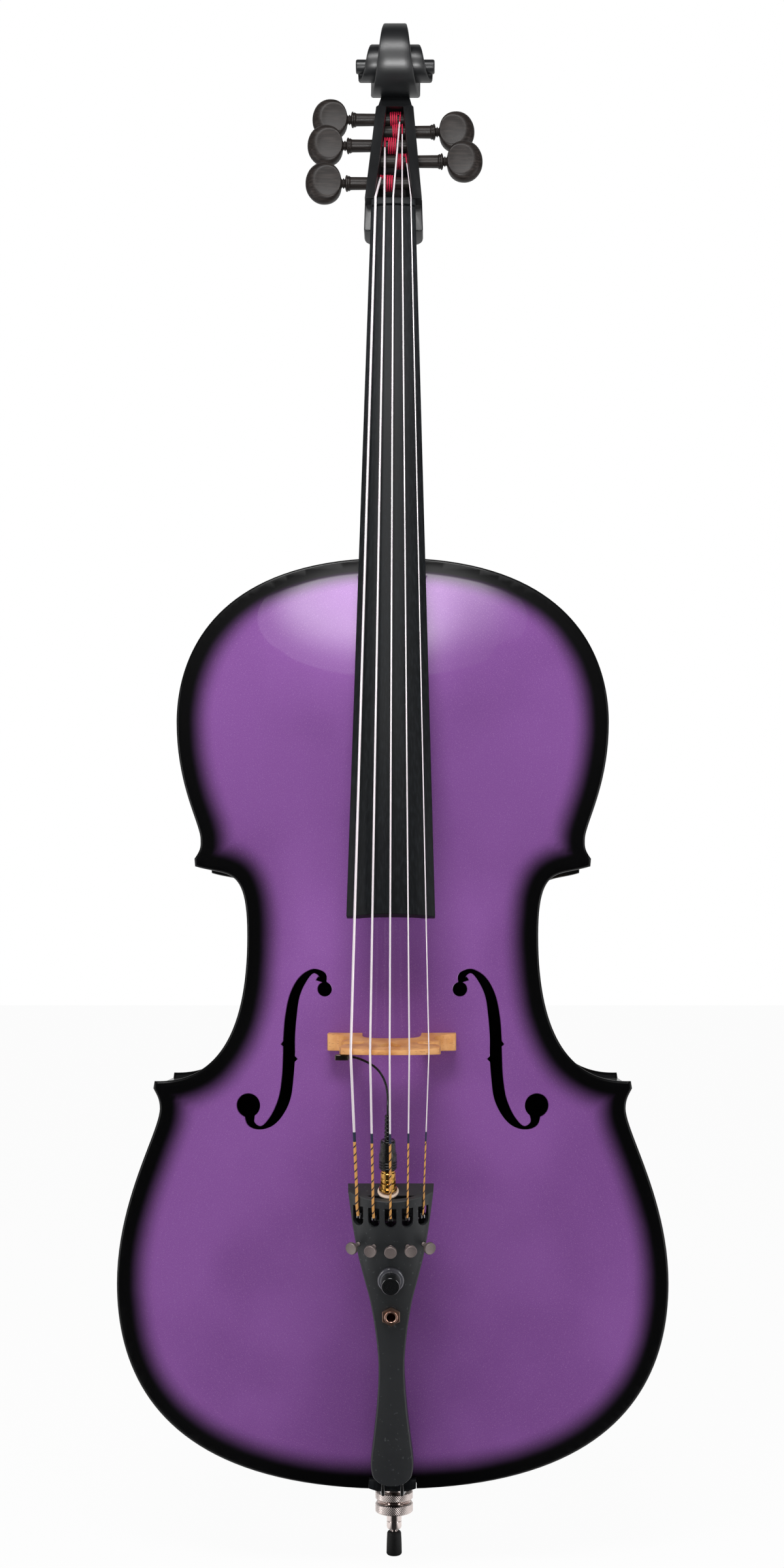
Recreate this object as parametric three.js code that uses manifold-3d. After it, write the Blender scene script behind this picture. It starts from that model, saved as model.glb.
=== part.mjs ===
// Five-string electric cello, in millimetres, +Z up along the body, strings facing -Y.
// The origin is the middle of the endpin's rubber foot; y = 0 is the middle of the rib height.
import * as THREE from 'three';
import { mergeVertices } from 'three/addons/utils/BufferGeometryUtils.js';
import Module from 'manifold-3d';

const wasm = await Module();
wasm.setup();

// Body outline and plates
const bodyLength = 755;
const lowerHalf = 223.7;
const waistHalf = 118;
const upperHalf = 175.3;
const lowerCornerShare = 0.8677;
const lowerFlankShare = 0.8444;
const upperCornerShare = 0.9173;
const upperFlankShare = 0.8888;
const ribHeight = 118;
const ribThickness = 2;
const plateThickness = 4.5;
const archHeight = 25;
const edgeOverhang = 4;
const archMargin = 6;
const hollowMargin = 14;
const seatGap = 0.3;
const overrun = 1;

// F-holes
const fHoleLength = 129;
const fStemWidth = 9.8;
const fStemPlace = 83;
const fUpperEyeRadius = 5.8;
const fLowerEyeRadius = 9.6;
const fNick = 2;

// Inside the body
const topBlockWidth = 116;
const topBlockDepth = 38;
const bottomBlockWidth = 104;
const bottomBlockDepth = 34;
const cornerBlockReach = 36;
const bassBarLength = 560;
const bassBarWidth = 11;
const bassBarHeight = 24;
const soundPostRadius = 5.5;
const buttonRadius = 17;

// Endpin, from the floor upwards
const tipLength = 20;
const tipRadius = 6.5;
const tipSocketDepth = 12;
const rodNeckLength = 2.2;
const rodNeckRadius = 3.15;
const rodRadius = 4.7;
const rodLength = 430;
const sleeveLength = 14;
const sleeveRadius = 6.3;
const clampRingWidth = 9.1;
const clampRingRadius = 15.8;
const clampGroove = 1.7;
const noseRadius = 9;
const noseLength = 6;
const socketRingWidth = 7.7;
const socketNeckLength = 18.3;
const socketNeckRadius = 11;
const socketFlangeWidth = 2.7;
const socketFlangeRadius = 14.5;
const socketPlugLength = 42;
const socketPlugRadius = 12;
const rodTravel = 330;

// Neck and fingerboard
const neckAngle = THREE.MathUtils.degToRad(10.6);
const neckLength = 300;
const fingerboardRise = 31;
const fingerboardOverlap = 296;
const nutHalf = 18.3;
const boardEndHalf = 34.3;
const boardRadius = 65;
const boardSideNut = 8;
const boardSideEnd = 8;
const boardScoop = 5;
const nutLength = 5.7;
const nutRise = 1.7;
const neckDepth = 18;
const heelHalf = 25.5;
const heelReach = 46;
const rootDepth = 8;
const chinHalf = 24.4;
const chinLength = 23;
const chinDepth = 27;

// Pegbox, scroll and pegs
const headLean = THREE.MathUtils.degToRad(32);
const pegboxLength = 122;
const pegboxHalfLow = 23.5;
const pegboxHalfHigh = 16;
const pegboxDepthLow = 38;
const pegboxDepthHigh = 29;
const cavityHalfLow = 15.9;
const cavityHalfHigh = 7.3;
const cavityDepthLow = 32;
const cavityDepthHigh = 24.5;
const cavityEndLean = THREE.MathUtils.degToRad(43);
const cavityStart = 0.8;
const eyeHeight = 173.3;
const eyeDepth = -3.3;
const eyeRadius = 5.9;
const eyeHalf = 34.2;
const scrollRadius = 34;
const scrollChamfer = 1.6;
const pegAxisDepth = 15.5;
const pegRadius = 5.2;
const pegTaper = 0.6;
const pegReach = 38;
const pegCollarWidth = 3.2;
const pegCollarRadius = 6.6;
const pegWaistLength = 6;
const pegWaistRadius = 3;
const pegHeadLength = 30.5;
const pegHeadHeight = 34.5;
const pegHeadThickness = 12;

// Strings
const nutSpread = 29.2;
const bridgeSpread = 59;
const stringDiameters = [2, 1.7, 1.4, 1.15, 0.9];
const silkExtra = 0.4;
const silkDiameters = [1.4, 1.3, 1.2, 1.1, 1];
const windingTurns = 4;
const windingGap = 0.5;

// Bridge and pickup
const bridgePlaceShare = 0.4755;
const stringLift = 7.9;
const bridgeSpan = 102;
const bridgeCrownHalf = 38.7;
const bridgeCrownRadius = 70;
const bridgeTopThickness = 3.6;
const bridgeFootThickness = 13.6;
const pickupWidth = 10.5;
const pickupHeight = 10;
const pickupThickness = 4.4;
const leadDiameter = 1.8;

// Tailpiece and what it carries
const afterLength = 108.5;
const tailSaddleGap = 9;
const tailHalf = 33.3;
const tailRadius = 52;
const tailRise = 88;
const tailEndRise = 23.3;
const tailDepthHigh = 21;
const tailDepthLow = 13;
const tailWall = 3.5;
const tailCavityShare = 0.488;
const slotWidth = 9;
const slotStartShare = 0.052;
const slotLengthShare = 0.064;
const tunerPlaceShare = 0.178;
const tunerTravel = 4;
const screwRadius = 1.75;
const screwHeadRadius = 4.8;
const screwHeadThickness = 3.2;
const screwHeadHeight = 11.5;
const leverWidth = 3.6;
const leverPivotShare = 0.104;
const leverPivotDepth = 9;
const leverThickness = 2.6;
const leverPinRadius = 1.5;
const lugThickness = 2;
const knobPlaceShare = 0.284;
const knobSkirtRadius = 10.3;
const knobSkirtHeight = 4;
const knobGripRadius = 7.3;
const knobGripHeight = 17.6;
const knobStemRadius = 2;
const potRadius = 8;
const potHeight = 8;
const potBushRadius = 3.6;
const jackPlaceShare = 0.408;
const jackBushRadius = 5.3;
const jackBoreRadius = 3.7;
const jackBarrelRadius = 6.4;
const jackDepth = 27;
const jackNutRadius = 7.9;
const jackNutThickness = 2.4;
const inputJackDepth = 12;
const inputJackOffset = -2;
const inputFlangeRadius = 7.8;
const inputFlangeThickness = 2.2;
const inputBoreRadius = 2;
const plugPinLength = 8;
const plugShellRadius = 6;
const plugShellStart = 4.6;
const plugShellEnd = 14.5;
const plugBodyRadius = 7;
const plugBodyEnd = 39;
const reliefRadius = 2.8;
const reliefEnd = 59;
const gutRadius = 1.5;
const gutHalfSpacing = 7.7;
const saddleHalf = 19;
const saddleHeight = 8.5;
const saddleDepth = 10;
const saddleBevel = 3;

// Facet counts and the merge tolerance
const mergeStep = 1e-4;
const roundSides = 16;
const smallSides = 12;
const pinSides = 8;

const lowerCornerHalf = lowerCornerShare * lowerHalf;
const lowerFlankHalf = lowerFlankShare * lowerHalf;
const upperCornerHalf = upperCornerShare * upperHalf;
const upperFlankHalf = upperFlankShare * upperHalf;
const bridgePlace = bridgePlaceShare * bodyLength;
const bridgeHeight = fingerboardRise + (bodyLength - bridgePlace) * Math.tan(neckAngle) + stringLift;
const tailPlace = bridgePlace - afterLength;
const tailLength = Math.hypot(tailPlace - tailSaddleGap, tailRise - tailEndRise);
const tailAngle = Math.asin((tailRise - tailEndRise) / tailLength);
const tailCavityLength = tailCavityShare * tailLength;
const slotStart = slotStartShare * tailLength;
const slotLength = slotLengthShare * tailLength;
const tunerPlace = tunerPlaceShare * tailLength;
const leverPivotPlace = leverPivotShare * tailLength;
const knobPlace = knobPlaceShare * tailLength;
const jackPlace = jackPlaceShare * tailLength;
const ribHalf = ribHeight / 2;
const edgeHalf = ribHalf + plateThickness;
const socketBottom = tipLength + rodNeckLength + sleeveLength + clampRingWidth + clampGroove;
const ribBottom = socketBottom + socketRingWidth + socketNeckLength + socketFlangeWidth + seatGap;
const bodyRise = ribBottom - edgeOverhang;

// Solids and meshes

function tidied(geometry) {
  const bare = geometry.clone();
  for (const name of Object.keys(bare.attributes)) {
    if (name !== 'position') bare.deleteAttribute(name);
  }
  const merged = mergeVertices(bare, mergeStep);
  const corners = merged.index.array;
  const kept = [];
  for (let i = 0; i < corners.length; i += 3) {
    const [a, b, c] = [corners[i], corners[i + 1], corners[i + 2]];
    if (a !== b && b !== c && c !== a) kept.push(a, b, c);
  }
  const position = merged.attributes.position;
  const [p, q, r] = [new THREE.Vector3(), new THREE.Vector3(), new THREE.Vector3()];
  let volume = 0;
  for (let i = 0; i < kept.length; i += 3) {
    p.fromBufferAttribute(position, kept[i]);
    q.fromBufferAttribute(position, kept[i + 1]);
    r.fromBufferAttribute(position, kept[i + 2]);
    volume += p.dot(q.cross(r));
  }
  if (volume < 0) {
    for (let i = 0; i < kept.length; i += 3) [kept[i], kept[i + 1]] = [kept[i + 1], kept[i]];
  }
  merged.setIndex(kept);
  return merged;
}

function toSolid(geometry) {
  const clean = tidied(geometry);
  return new wasm.Manifold(new wasm.Mesh({
    numProp: 3,
    vertProperties: clean.attributes.position.array,
    triVerts: new Uint32Array(clean.index.array),
  }));
}

function toGeometry(solid) {
  const mesh = solid.getMesh();
  const geometry = new THREE.BufferGeometry();
  geometry.setAttribute('position', new THREE.BufferAttribute(mesh.vertProperties, 3));
  geometry.setIndex(new THREE.BufferAttribute(mesh.triVerts, 1));
  return geometry;
}

const joined = (...geometries) => toGeometry(
  geometries.map(toSolid).reduce((whole, piece) => whole.add(piece)));
const cut = (geometry, ...cutters) => toGeometry(
  cutters.map(toSolid).reduce((whole, cutter) => whole.subtract(cutter), toSolid(geometry)));
const common = (geometry, other) => toGeometry(toSolid(geometry).intersect(toSolid(other)));
const moved = (geometry, x, y, z) => geometry.clone().translate(x, y, z);
const framed = (geometry, matrix) => geometry.clone().applyMatrix4(matrix);

function capTriangles(ring) {
  const normal = new THREE.Vector3();
  ring.forEach((point, i) => normal.add(point.clone().cross(ring[(i + 1) % ring.length])));
  const [x, y, z] = [Math.abs(normal.x), Math.abs(normal.y), Math.abs(normal.z)];
  const flat = ring.map((p) => {
    if (z >= x && z >= y) return new THREE.Vector2(p.x, p.y);
    return y >= x ? new THREE.Vector2(p.z, p.x) : new THREE.Vector2(p.y, p.z);
  });
  const turn = Math.sign(THREE.ShapeUtils.area(flat));
  return THREE.ShapeUtils.triangulateShape(flat, []).map((face) => {
    const same = Math.sign(THREE.ShapeUtils.area(face.map((k) => flat[k]))) === turn;
    return same ? face : [face[0], face[2], face[1]];
  });
}

// A closed skin through rings of equal counts of points.
function loft(rings) {
  const sides = rings[0].length;
  const index = [];
  for (let r = 0; r + 1 < rings.length; r += 1) {
    for (let k = 0; k < sides; k += 1) {
      const a = r * sides + k;
      const b = r * sides + ((k + 1) % sides);
      index.push(a, b, b + sides, a, b + sides, a + sides);
    }
  }
  const last = (rings.length - 1) * sides;
  for (const [a, b, c] of capTriangles(rings[0])) index.push(a, c, b);
  for (const [a, b, c] of capTriangles(rings[rings.length - 1])) index.push(last + a, last + b, last + c);
  const geometry = new THREE.BufferGeometry().setFromPoints(rings.flat());
  geometry.setIndex(index);
  return tidied(geometry);
}

// A round rod through points, with one radius or one for each point.
function rod(points, radius, sides) {
  const tangents = points.map((point, i) => {
    const before = points[Math.max(i - 1, 0)];
    const after = points[Math.min(i + 1, points.length - 1)];
    return after.clone().sub(before).normalize();
  });
  const side = Math.abs(tangents[0].x) < Math.abs(tangents[0].z)
    ? new THREE.Vector3(1, 0, 0) : new THREE.Vector3(0, 0, 1);
  return loft(points.map((point, i) => {
    side.addScaledVector(tangents[i], -side.dot(tangents[i])).normalize();
    const up = tangents[i].clone().cross(side);
    const size = Array.isArray(radius) ? radius[i] : radius;
    return Array.from({ length: sides }, (_, k) => {
      const angle = (k / sides) * 2 * Math.PI;
      return point.clone()
        .addScaledVector(side, size * Math.cos(angle))
        .addScaledVector(up, size * Math.sin(angle));
    });
  }));
}

// A turned piece about Z from [radius, height] pairs.
function turned(profile, sides = roundSides) {
  const lathe = new THREE.LatheGeometry(profile.map(([r, z]) => new THREE.Vector2(r, z)), sides);
  return tidied(lathe.rotateX(Math.PI / 2));
}

const cylinder = (radius, low, high, sides = roundSides) => turned(
  [[0, low], [radius, low], [radius, high], [0, high]], sides);
const alongX = (geometry) => geometry.clone().rotateY(Math.PI / 2);
const alongY = (geometry) => geometry.clone().rotateX(-Math.PI / 2);

function block(x0, x1, y0, y1, z0, z1) {
  return moved(new THREE.BoxGeometry(x1 - x0, y1 - y0, z1 - z0),
    (x0 + x1) / 2, (y0 + y1) / 2, (z0 + z1) / 2);
}

// A prism from an outline in X and Z, between two depths.
function slab(outline, front, back) {
  const shape = new THREE.Shape(outline);
  const prism = new THREE.ExtrudeGeometry(shape, { depth: back - front, bevelEnabled: false });
  return tidied(prism.rotateX(Math.PI / 2).translate(0, back, 0));
}

// A prism from an outline in Y and Z, centred on X.
function sideSlab(outline, width) {
  const shape = new THREE.Shape(outline);
  const prism = new THREE.ExtrudeGeometry(shape, { depth: width, bevelEnabled: false });
  prism.translate(0, 0, -width / 2);
  return tidied(prism.applyMatrix4(new THREE.Matrix4().makeBasis(
    new THREE.Vector3(0, 1, 0), new THREE.Vector3(0, 0, 1), new THREE.Vector3(1, 0, 0))));
}

// The body's outline. Each curve runs up the right side, with the inside on its left.
// Rows are [half-width, handle share of it] and heights as shares of the body length.

const lowerCurveShares = [
  { steps: 11, points: [[0, 0], [0.806 * lowerHalf, 0], [lowerHalf, 0.1124], [lowerHalf, 0.2207]] },
  { steps: 6, points: [[lowerHalf, 0.2207], [lowerHalf, 0.3105], [lowerFlankHalf, 0.3838], [lowerFlankHalf, 0.4085]] },
  {
    steps: 3,
    points: [[lowerFlankHalf, 0.4085], [lowerFlankHalf, 0.4192],
      [0.988 * lowerCornerHalf, 0.4239], [lowerCornerHalf, 0.4302]],
  },
];
const waistCurveShares = [
  {
    steps: 9,
    points: [[0.995 * lowerCornerHalf, 0.4379], [0.779 * lowerCornerHalf, 0.436],
      [waistHalf, 0.4722], [waistHalf, 0.5942]],
  },
  {
    steps: 7,
    points: [[waistHalf, 0.5942], [waistHalf, 0.672],
      [0.833 * upperCornerHalf, 0.6576], [0.997 * upperCornerHalf, 0.6685]],
  },
];
const upperCurveShares = [
  {
    steps: 3,
    points: [[upperCornerHalf, 0.6768], [0.9645 * upperCornerHalf, 0.687],
      [upperFlankHalf, 0.691], [upperFlankHalf, 0.697]],
  },
  { steps: 5, points: [[upperFlankHalf, 0.697], [upperFlankHalf, 0.714], [upperHalf, 0.7543], [upperHalf, 0.8233]] },
  { steps: 11, points: [[upperHalf, 0.8233], [upperHalf, 0.869], [0.926 * upperHalf, 1], [0, 1]] },
];

function insetCurve(pieces, inset) {
  const curve = [];
  for (const { steps, points } of pieces) {
    const [a, b, c, d] = points.map(([x, z]) => new THREE.Vector2(x, z * bodyLength));
    const bezier = new THREE.CubicBezierCurve(a, b, c, d);
    for (let i = curve.length ? 1 : 0; i <= steps; i += 1) {
      const tangent = bezier.getTangent(i / steps);
      const point = bezier.getPoint(i / steps);
      const onAxis = point.x === 0;
      curve.push(new THREE.Vector2(onAxis ? 0 : point.x - tangent.y * inset, point.y + tangent.x * inset));
    }
  }
  return curve;
}

const mirrored = (points) => points.map((p) => new THREE.Vector2(-p.x, p.y)).reverse();

function bodyOutline() {
  const right = [lowerCurveShares, waistCurveShares, upperCurveShares].flatMap((c) => insetCurve(c, 0));
  return [...right, ...mirrored(right).slice(1, -1)];
}

// Half-width of the arched field, which runs past the corners without their points.
const lowerEdge = insetCurve(lowerCurveShares.slice(0, 1), 0);
const upperEdge = insetCurve(upperCurveShares.slice(2), 0);

function readOff(points, height) {
  const i = points.findIndex((p, k) => k > 0 && (p.y - height) * (points[k - 1].y - height) <= 0);
  if (i < 0) return 0;
  const share = (height - points[i - 1].y) / (points[i].y - points[i - 1].y || 1);
  return THREE.MathUtils.lerp(points[i - 1].x, points[i].x, share);
}

function fieldHalf(height) {
  const low = lowerEdge[lowerEdge.length - 1].y;
  const waist = 0.5942 * bodyLength;
  const high = upperEdge[0].y;
  if (height <= low) return Math.max(readOff(lowerEdge, height), hollowMargin + archMargin);
  if (height >= high) return Math.max(readOff(upperEdge, height), hollowMargin + archMargin);
  const [from, to, start, end] = height < waist
    ? [lowerHalf, waistHalf, low, waist] : [waistHalf, upperHalf, waist, high];
  const share = (1 - Math.cos(Math.PI * (height - start) / (end - start))) / 2;
  return THREE.MathUtils.lerp(from, to, share);
}

function archAt(x, height, margin) {
  const along = (height - margin) / (bodyLength - 2 * margin);
  const across = Math.abs(x) / (fieldHalf(height) - margin);
  if (across >= 1 || along <= 0 || along >= 1) return 0;
  const acrossShare = ((1 + Math.cos(Math.PI * across)) / 2) ** 0.85;
  return archHeight * acrossShare * (1 - Math.abs(2 * along - 1) ** 3.2);
}

const outerFace = (x, height) => edgeHalf + archAt(x, height, archMargin);
const innerFace = (x, height) => ribHalf + archAt(x, height, hollowMargin);

// A slab between two depth fields over the whole body, on rows that follow the outline.
function fieldSlab(frontAt, backAt) {
  const acrossShares = [-1, -0.8, -0.54, -0.27, 0, 0.27, 0.54, 0.8, 1];
  const alongShares = [-0.02, 0.006, 0.025, 0.055, 0.095, 0.15, 0.21, 0.28, 0.35, 0.42, 0.49,
    0.56, 0.63, 0.7, 0.77, 0.83, 0.88, 0.925, 0.965, 0.994, 1.02];
  const rings = alongShares.map((share) => {
    const height = share * bodyLength;
    const half = fieldHalf(THREE.MathUtils.clamp(height, overrun, bodyLength - overrun));
    const places = [-1.2 * lowerHalf, ...acrossShares.map((s) => s * (half - archMargin)), 1.2 * lowerHalf];
    const front = places.map((x) => new THREE.Vector3(x, frontAt(x, height), height));
    const back = places.map((x) => new THREE.Vector3(x, backAt(x, height), height)).reverse();
    return [...front, ...back];
  });
  return loft(rings);
}

const farOut = 2 * edgeHalf;
const frontKeepOut = () => fieldSlab(() => -farOut, (x, z) => seatGap - innerFace(x, z));
const backKeepOut = () => fieldSlab((x, z) => innerFace(x, z) - seatGap, () => farOut);
const frontTopSide = () => fieldSlab((x, z) => -outerFace(x, z) - seatGap, () => 0);

// F-hole cutter: a stem of changing width between two round eyes, with a nick on each side.
const fStemShares = [
  [-0.2, 0.42, 0.9], [-0.208, 0.462, 0.6], [-0.153, 0.488, 0.35], [-0.081, 0.431, 0.69], [-0.034, 0.339, 0.83],
  [-0.009, 0.205, 0.96], [0.001, 0.074, 0.97], [0.002, -0.049, 1], [0.009, -0.171, 0.97], [0.026, -0.295, 0.98],
  [0.06, -0.381, 0.88], [0.109, -0.45, 0.67], [0.18, -0.491, 0.28], [0.242, -0.461, 0.66], [0.25, -0.4, 0.9],
];
const fUpperEyeShares = [-0.223, 0.375];
const fLowerEyeShares = [0.258, -0.353];
const fNickShares = [[-0.5, -0.06], [0.5, 0.03]];

function fHoleCutter(side) {
  const middle = bridgePlace - fNick;
  const place = (share, up) => new THREE.Vector2(
    side * (fStemPlace + share * fHoleLength), middle + up * fHoleLength);
  const spine = new THREE.CatmullRomCurve3(
    fStemShares.map(([x, z]) => new THREE.Vector3(place(x, z).x, place(x, z).y, 0)), false, 'centripetal');
  const widths = new THREE.CatmullRomCurve3(fStemShares.map(([, , w], i) => new THREE.Vector3(i, w, 0)));
  const count = 22;
  const banks = [[], []];
  for (let i = 0; i <= count; i += 1) {
    const point = spine.getPoint(i / count);
    const tangent = spine.getTangent(i / count);
    const half = (widths.getPoint(i / count).y * fStemWidth) / 2;
    banks[0].push(new THREE.Vector2(point.x - tangent.y * half, point.y + tangent.x * half));
    banks[1].unshift(new THREE.Vector2(point.x + tangent.y * half, point.y - tangent.x * half));
  }
  const stem = slab(banks.flat(), -farOut, 0);
  const eye = ([x, z], radius) => {
    const centre = place(x, z);
    return moved(alongY(cylinder(radius, -farOut, farOut)), centre.x, 0, centre.y);
  };
  const nicks = fNickShares.map(([x, z]) => {
    const root = place((x * fStemWidth) / fHoleLength, z);
    const out = side * Math.sign(x) * fNick;
    return slab([
      new THREE.Vector2(root.x + out, root.y),
      new THREE.Vector2(root.x - out, root.y + 2 * fNick),
      new THREE.Vector2(root.x - out, root.y - 2 * fNick),
    ], -farOut, 0);
  });
  const halfSpace = block(-lowerHalf, lowerHalf, -farOut, 0, 0, bodyLength);
  return common(joined(stem, eye(fUpperEyeShares, fUpperEyeRadius), eye(fLowerEyeShares, fLowerEyeRadius),
    ...nicks), halfSpace);
}

// Frames of the neck, the head and the tailpiece, seen from the body's frame.

function turnedFrame(x, y, z, angle) {
  return new THREE.Matrix4().makeTranslation(x, y, z).multiply(new THREE.Matrix4().makeRotationX(angle));
}

const neckFrame = turnedFrame(0, -edgeHalf - fingerboardRise, bodyLength, -neckAngle);
const headFrame = turnedFrame(0, seatGap, neckLength + nutLength + 2 * seatGap, neckAngle - headLean);
const tailFrame = turnedFrame(0, -edgeHalf - tailRise, tailPlace, tailAngle);
const headInBody = neckFrame.clone().multiply(headFrame);

// Fingerboard, nut and neck

const crownDrop = (x, radius) => radius - Math.sqrt(radius ** 2 - x ** 2);
const boardThickNut = boardSideNut + crownDrop(nutHalf, boardRadius);
const boardThickEnd = boardSideEnd + crownDrop(boardEndHalf, boardRadius);
const boardLength = neckLength + fingerboardOverlap;
const boardShare = (z) => (neckLength - z) / boardLength;
const boardHalfAt = (z) => THREE.MathUtils.lerp(nutHalf, boardEndHalf, boardShare(z));
const boardUnderAt = (z) => THREE.MathUtils.lerp(boardThickNut, boardThickEnd, boardShare(z));

// An arched section, straight from its left edge to a crease when the crease share is under one.
function crownRing(half, radius, under, z, creaseShare) {
  const steps = 12;
  const places = creaseShare < 1 ? [-half] : [];
  for (let i = 0; i <= steps; i += 1) places.push(THREE.MathUtils.lerp(-creaseShare * half, half, i / steps));
  const ring = places.map((x) => new THREE.Vector3(x, crownDrop(x, radius), z));
  ring.push(new THREE.Vector3(half, under, z), new THREE.Vector3(-half, under, z));
  return ring;
}

function fingerboard() {
  const bevelShare = 0.58;
  const ends = [neckLength, -fingerboardOverlap];
  const board = loft(ends.map((z) => crownRing(boardHalfAt(z), boardRadius, boardUnderAt(z), z, bevelShare)));
  const scoopRing = (z, depth) => {
    const half = 0.72 * boardHalfAt(z);
    const under = boardUnderAt(z);
    return [[-half, overrun], [-half * 0.7, -depth * 0.7], [0, -depth], [half * 0.7, -depth * 0.7], [half, overrun]]
      .map(([x, y]) => new THREE.Vector3(x, under + y, z));
  };
  const scoop = loft([
    scoopRing(-heelReach / 2, boardScoop / 4),
    scoopRing(-heelReach, boardScoop),
    scoopRing(-fingerboardOverlap - overrun, boardScoop),
  ]);
  return cut(board, scoop);
}

function nut() {
  const under = boardUnderAt(neckLength) - seatGap;
  const ring = (z) => crownRing(nutHalf, boardRadius, under, z, 1)
    .map((p, i, all) => (i < all.length - 2 ? p.add(new THREE.Vector3(0, -nutRise, 0)) : p));
  return loft([ring(neckLength + seatGap), ring(neckLength + seatGap + nutLength)]);
}

// One station of the neck: a U-shaped ring under the glue line, leaning towards the body's square.
function neckRing(z, half, depth, lean, grow = 0) {
  const steps = 10;
  const fullness = 0.8;
  const top = boardUnderAt(z) + seatGap - grow;
  const direction = new THREE.Vector3(0, Math.cos(lean), Math.sin(lean));
  return Array.from({ length: steps + 1 }, (_, i) => {
    const angle = Math.PI * (i / steps);
    const x = -Math.sign(Math.cos(angle)) * (half + grow) * Math.abs(Math.cos(angle)) ** fullness;
    const down = (depth + 2 * grow) * Math.sin(angle) ** fullness;
    return new THREE.Vector3(x, top, z).addScaledVector(direction, down);
  });
}

// Depth from the glue line square into the body, down to the back plate's button.
function heelDepth(z) {
  const glueLine = new THREE.Vector3(0, boardUnderAt(z) + seatGap, z).applyMatrix4(neckFrame);
  return ribHalf - seatGap - glueLine.y;
}

function neckRoot(grow) {
  const low = -rootDepth - edgeOverhang - grow;
  return loft([heelReach / 3, low].map((z) => neckRing(z, heelHalf, heelDepth(z), neckAngle, grow)));
}

function neckShaft() {
  const rows = [
    { z: neckLength + nutLength + seatGap, half: 0.93 * nutHalf, depth: neckDepth, lean: 0 },
    { z: 0.66 * neckLength, half: 0.95 * boardHalfAt(0.66 * neckLength), depth: 1.06 * neckDepth, lean: 0 },
    { z: 0.3 * neckLength, half: 0.95 * boardHalfAt(0.3 * neckLength), depth: 1.16 * neckDepth, lean: 0 },
    { z: 1.35 * heelReach, half: 0.95 * boardHalfAt(heelReach), depth: 1.22 * neckDepth, lean: 0 },
    { z: heelReach, half: 0.95 * heelHalf, depth: 1.35 * neckDepth, lean: 0 },
  ];
  const heelShares = [[0.72, 0.27, 0.2], [0.54, 0.39, 0.5], [0.42, 0.56, 0.8], [0.35, 0.77, 1], [0.31, 1, 1]];
  for (const [along, down, lean] of heelShares) {
    const z = along * heelReach;
    rows.push({ z, half: heelHalf, depth: down * heelDepth(z), lean: lean * neckAngle });
  }
  return loft(rows.map(({ z, half, depth, lean }) => neckRing(z, half, depth, lean)));
}

function chin() {
  const top = neckLength + nutLength + 2 * seatGap + chinLength / 4;
  const ring = (z, depth, half) => {
    const front = boardUnderAt(z) + seatGap;
    const round = half / 3;
    return [[-half, 0], [-half, depth - round], [-half + round, depth], [half - round, depth],
      [half, depth - round], [half, 0]].map(([x, y]) => new THREE.Vector3(x, front + y, z));
  };
  const low = top - chinLength * 1.25;
  return loft([
    ring(low, 0.84 * chinDepth, 0.985 * chinHalf),
    ring(low + chinLength / 12, 0.86 * chinDepth, chinHalf),
    ring(top, chinDepth, 0.97 * chinHalf),
  ]);
}

// Pegbox stations: heights of the front and back edges, half-width, front and back depths.
const pegboxHalfAt = (t) => THREE.MathUtils.lerp(pegboxHalfLow, pegboxHalfHigh, t / pegboxLength);

function pegboxBlank() {
  const square = Math.tan(headLean - neckAngle);
  const ring = (frontUp, backUp, half, front, back) => {
    const round = (back - front) / 5;
    const corners = [[-half, front], [-half, back - round], [-half + round, back], [half - round, back],
      [half, back - round], [half, front]];
    return corners.map(([x, q]) => new THREE.Vector3(
      x, q, THREE.MathUtils.mapLinear(q, front, back, frontUp, backUp)));
  };
  const joinAngle = -Math.PI / 9;
  const [outer, inner] = [spiralRadius(joinAngle), spiralRadius(joinAngle + 2 * Math.PI)];
  const seat = (radius) => [eyeDepth + radius * Math.cos(joinAngle), eyeHeight + radius * Math.sin(joinAngle)];
  const [[backEnd, backUp], [frontEnd, frontUp]] = [seat(outer), seat(inner * 0.8)];
  const throat = 1.13 * pegboxLength;
  return loft([
    ring(0, pegboxDepthLow * square, pegboxHalfLow, 0, pegboxDepthLow),
    ring(0.41 * pegboxLength, 0.41 * pegboxLength, pegboxHalfAt(0.41 * pegboxLength), 0, 0.97 * pegboxDepthLow),
    ring(pegboxLength, pegboxLength, pegboxHalfHigh, 0, pegboxDepthHigh),
    ring(throat, throat, 0.9 * pegboxHalfHigh, 0.32 * pegboxDepthHigh, 1.2 * pegboxDepthHigh),
    ring(frontUp, backUp, spiralHalf(joinAngle) - scrollChamfer, frontEnd, backEnd - scrollChamfer),
  ]);
}

function pegboxCavity() {
  const ring = (frontUp, backUp, half, back) => [[-half, -overrun, frontUp], [half, -overrun, frontUp],
    [0.86 * half, back, backUp], [-0.86 * half, back, backUp]].map(([x, y, z]) => new THREE.Vector3(x, y, z));
  const lean = Math.tan(cavityEndLean);
  return loft([
    ring(cavityStart, cavityStart + chinLength / 3, cavityHalfLow, cavityDepthLow),
    ring(pegboxLength, pegboxLength + lean * cavityDepthHigh, cavityHalfHigh, cavityDepthHigh),
  ]);
}

// The scroll's ridge: its radius shrinks by a steady ratio and its half-width grows inwards.
const spiralStart = THREE.MathUtils.degToRad(147.6);
const spiralRatio = 0.72;
const eyeTurn = THREE.MathUtils.degToRad(800);
const widthShares = [[-0.1, 0.36], [0.41, 0.3], [0.6, 0.41], [0.78, 0.55], [0.91, 0.63], [1.41, 0.64],
  [1.67, 0.77], [1.91, 0.94], [2.2, 0.97], [3, 0.97]];

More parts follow.
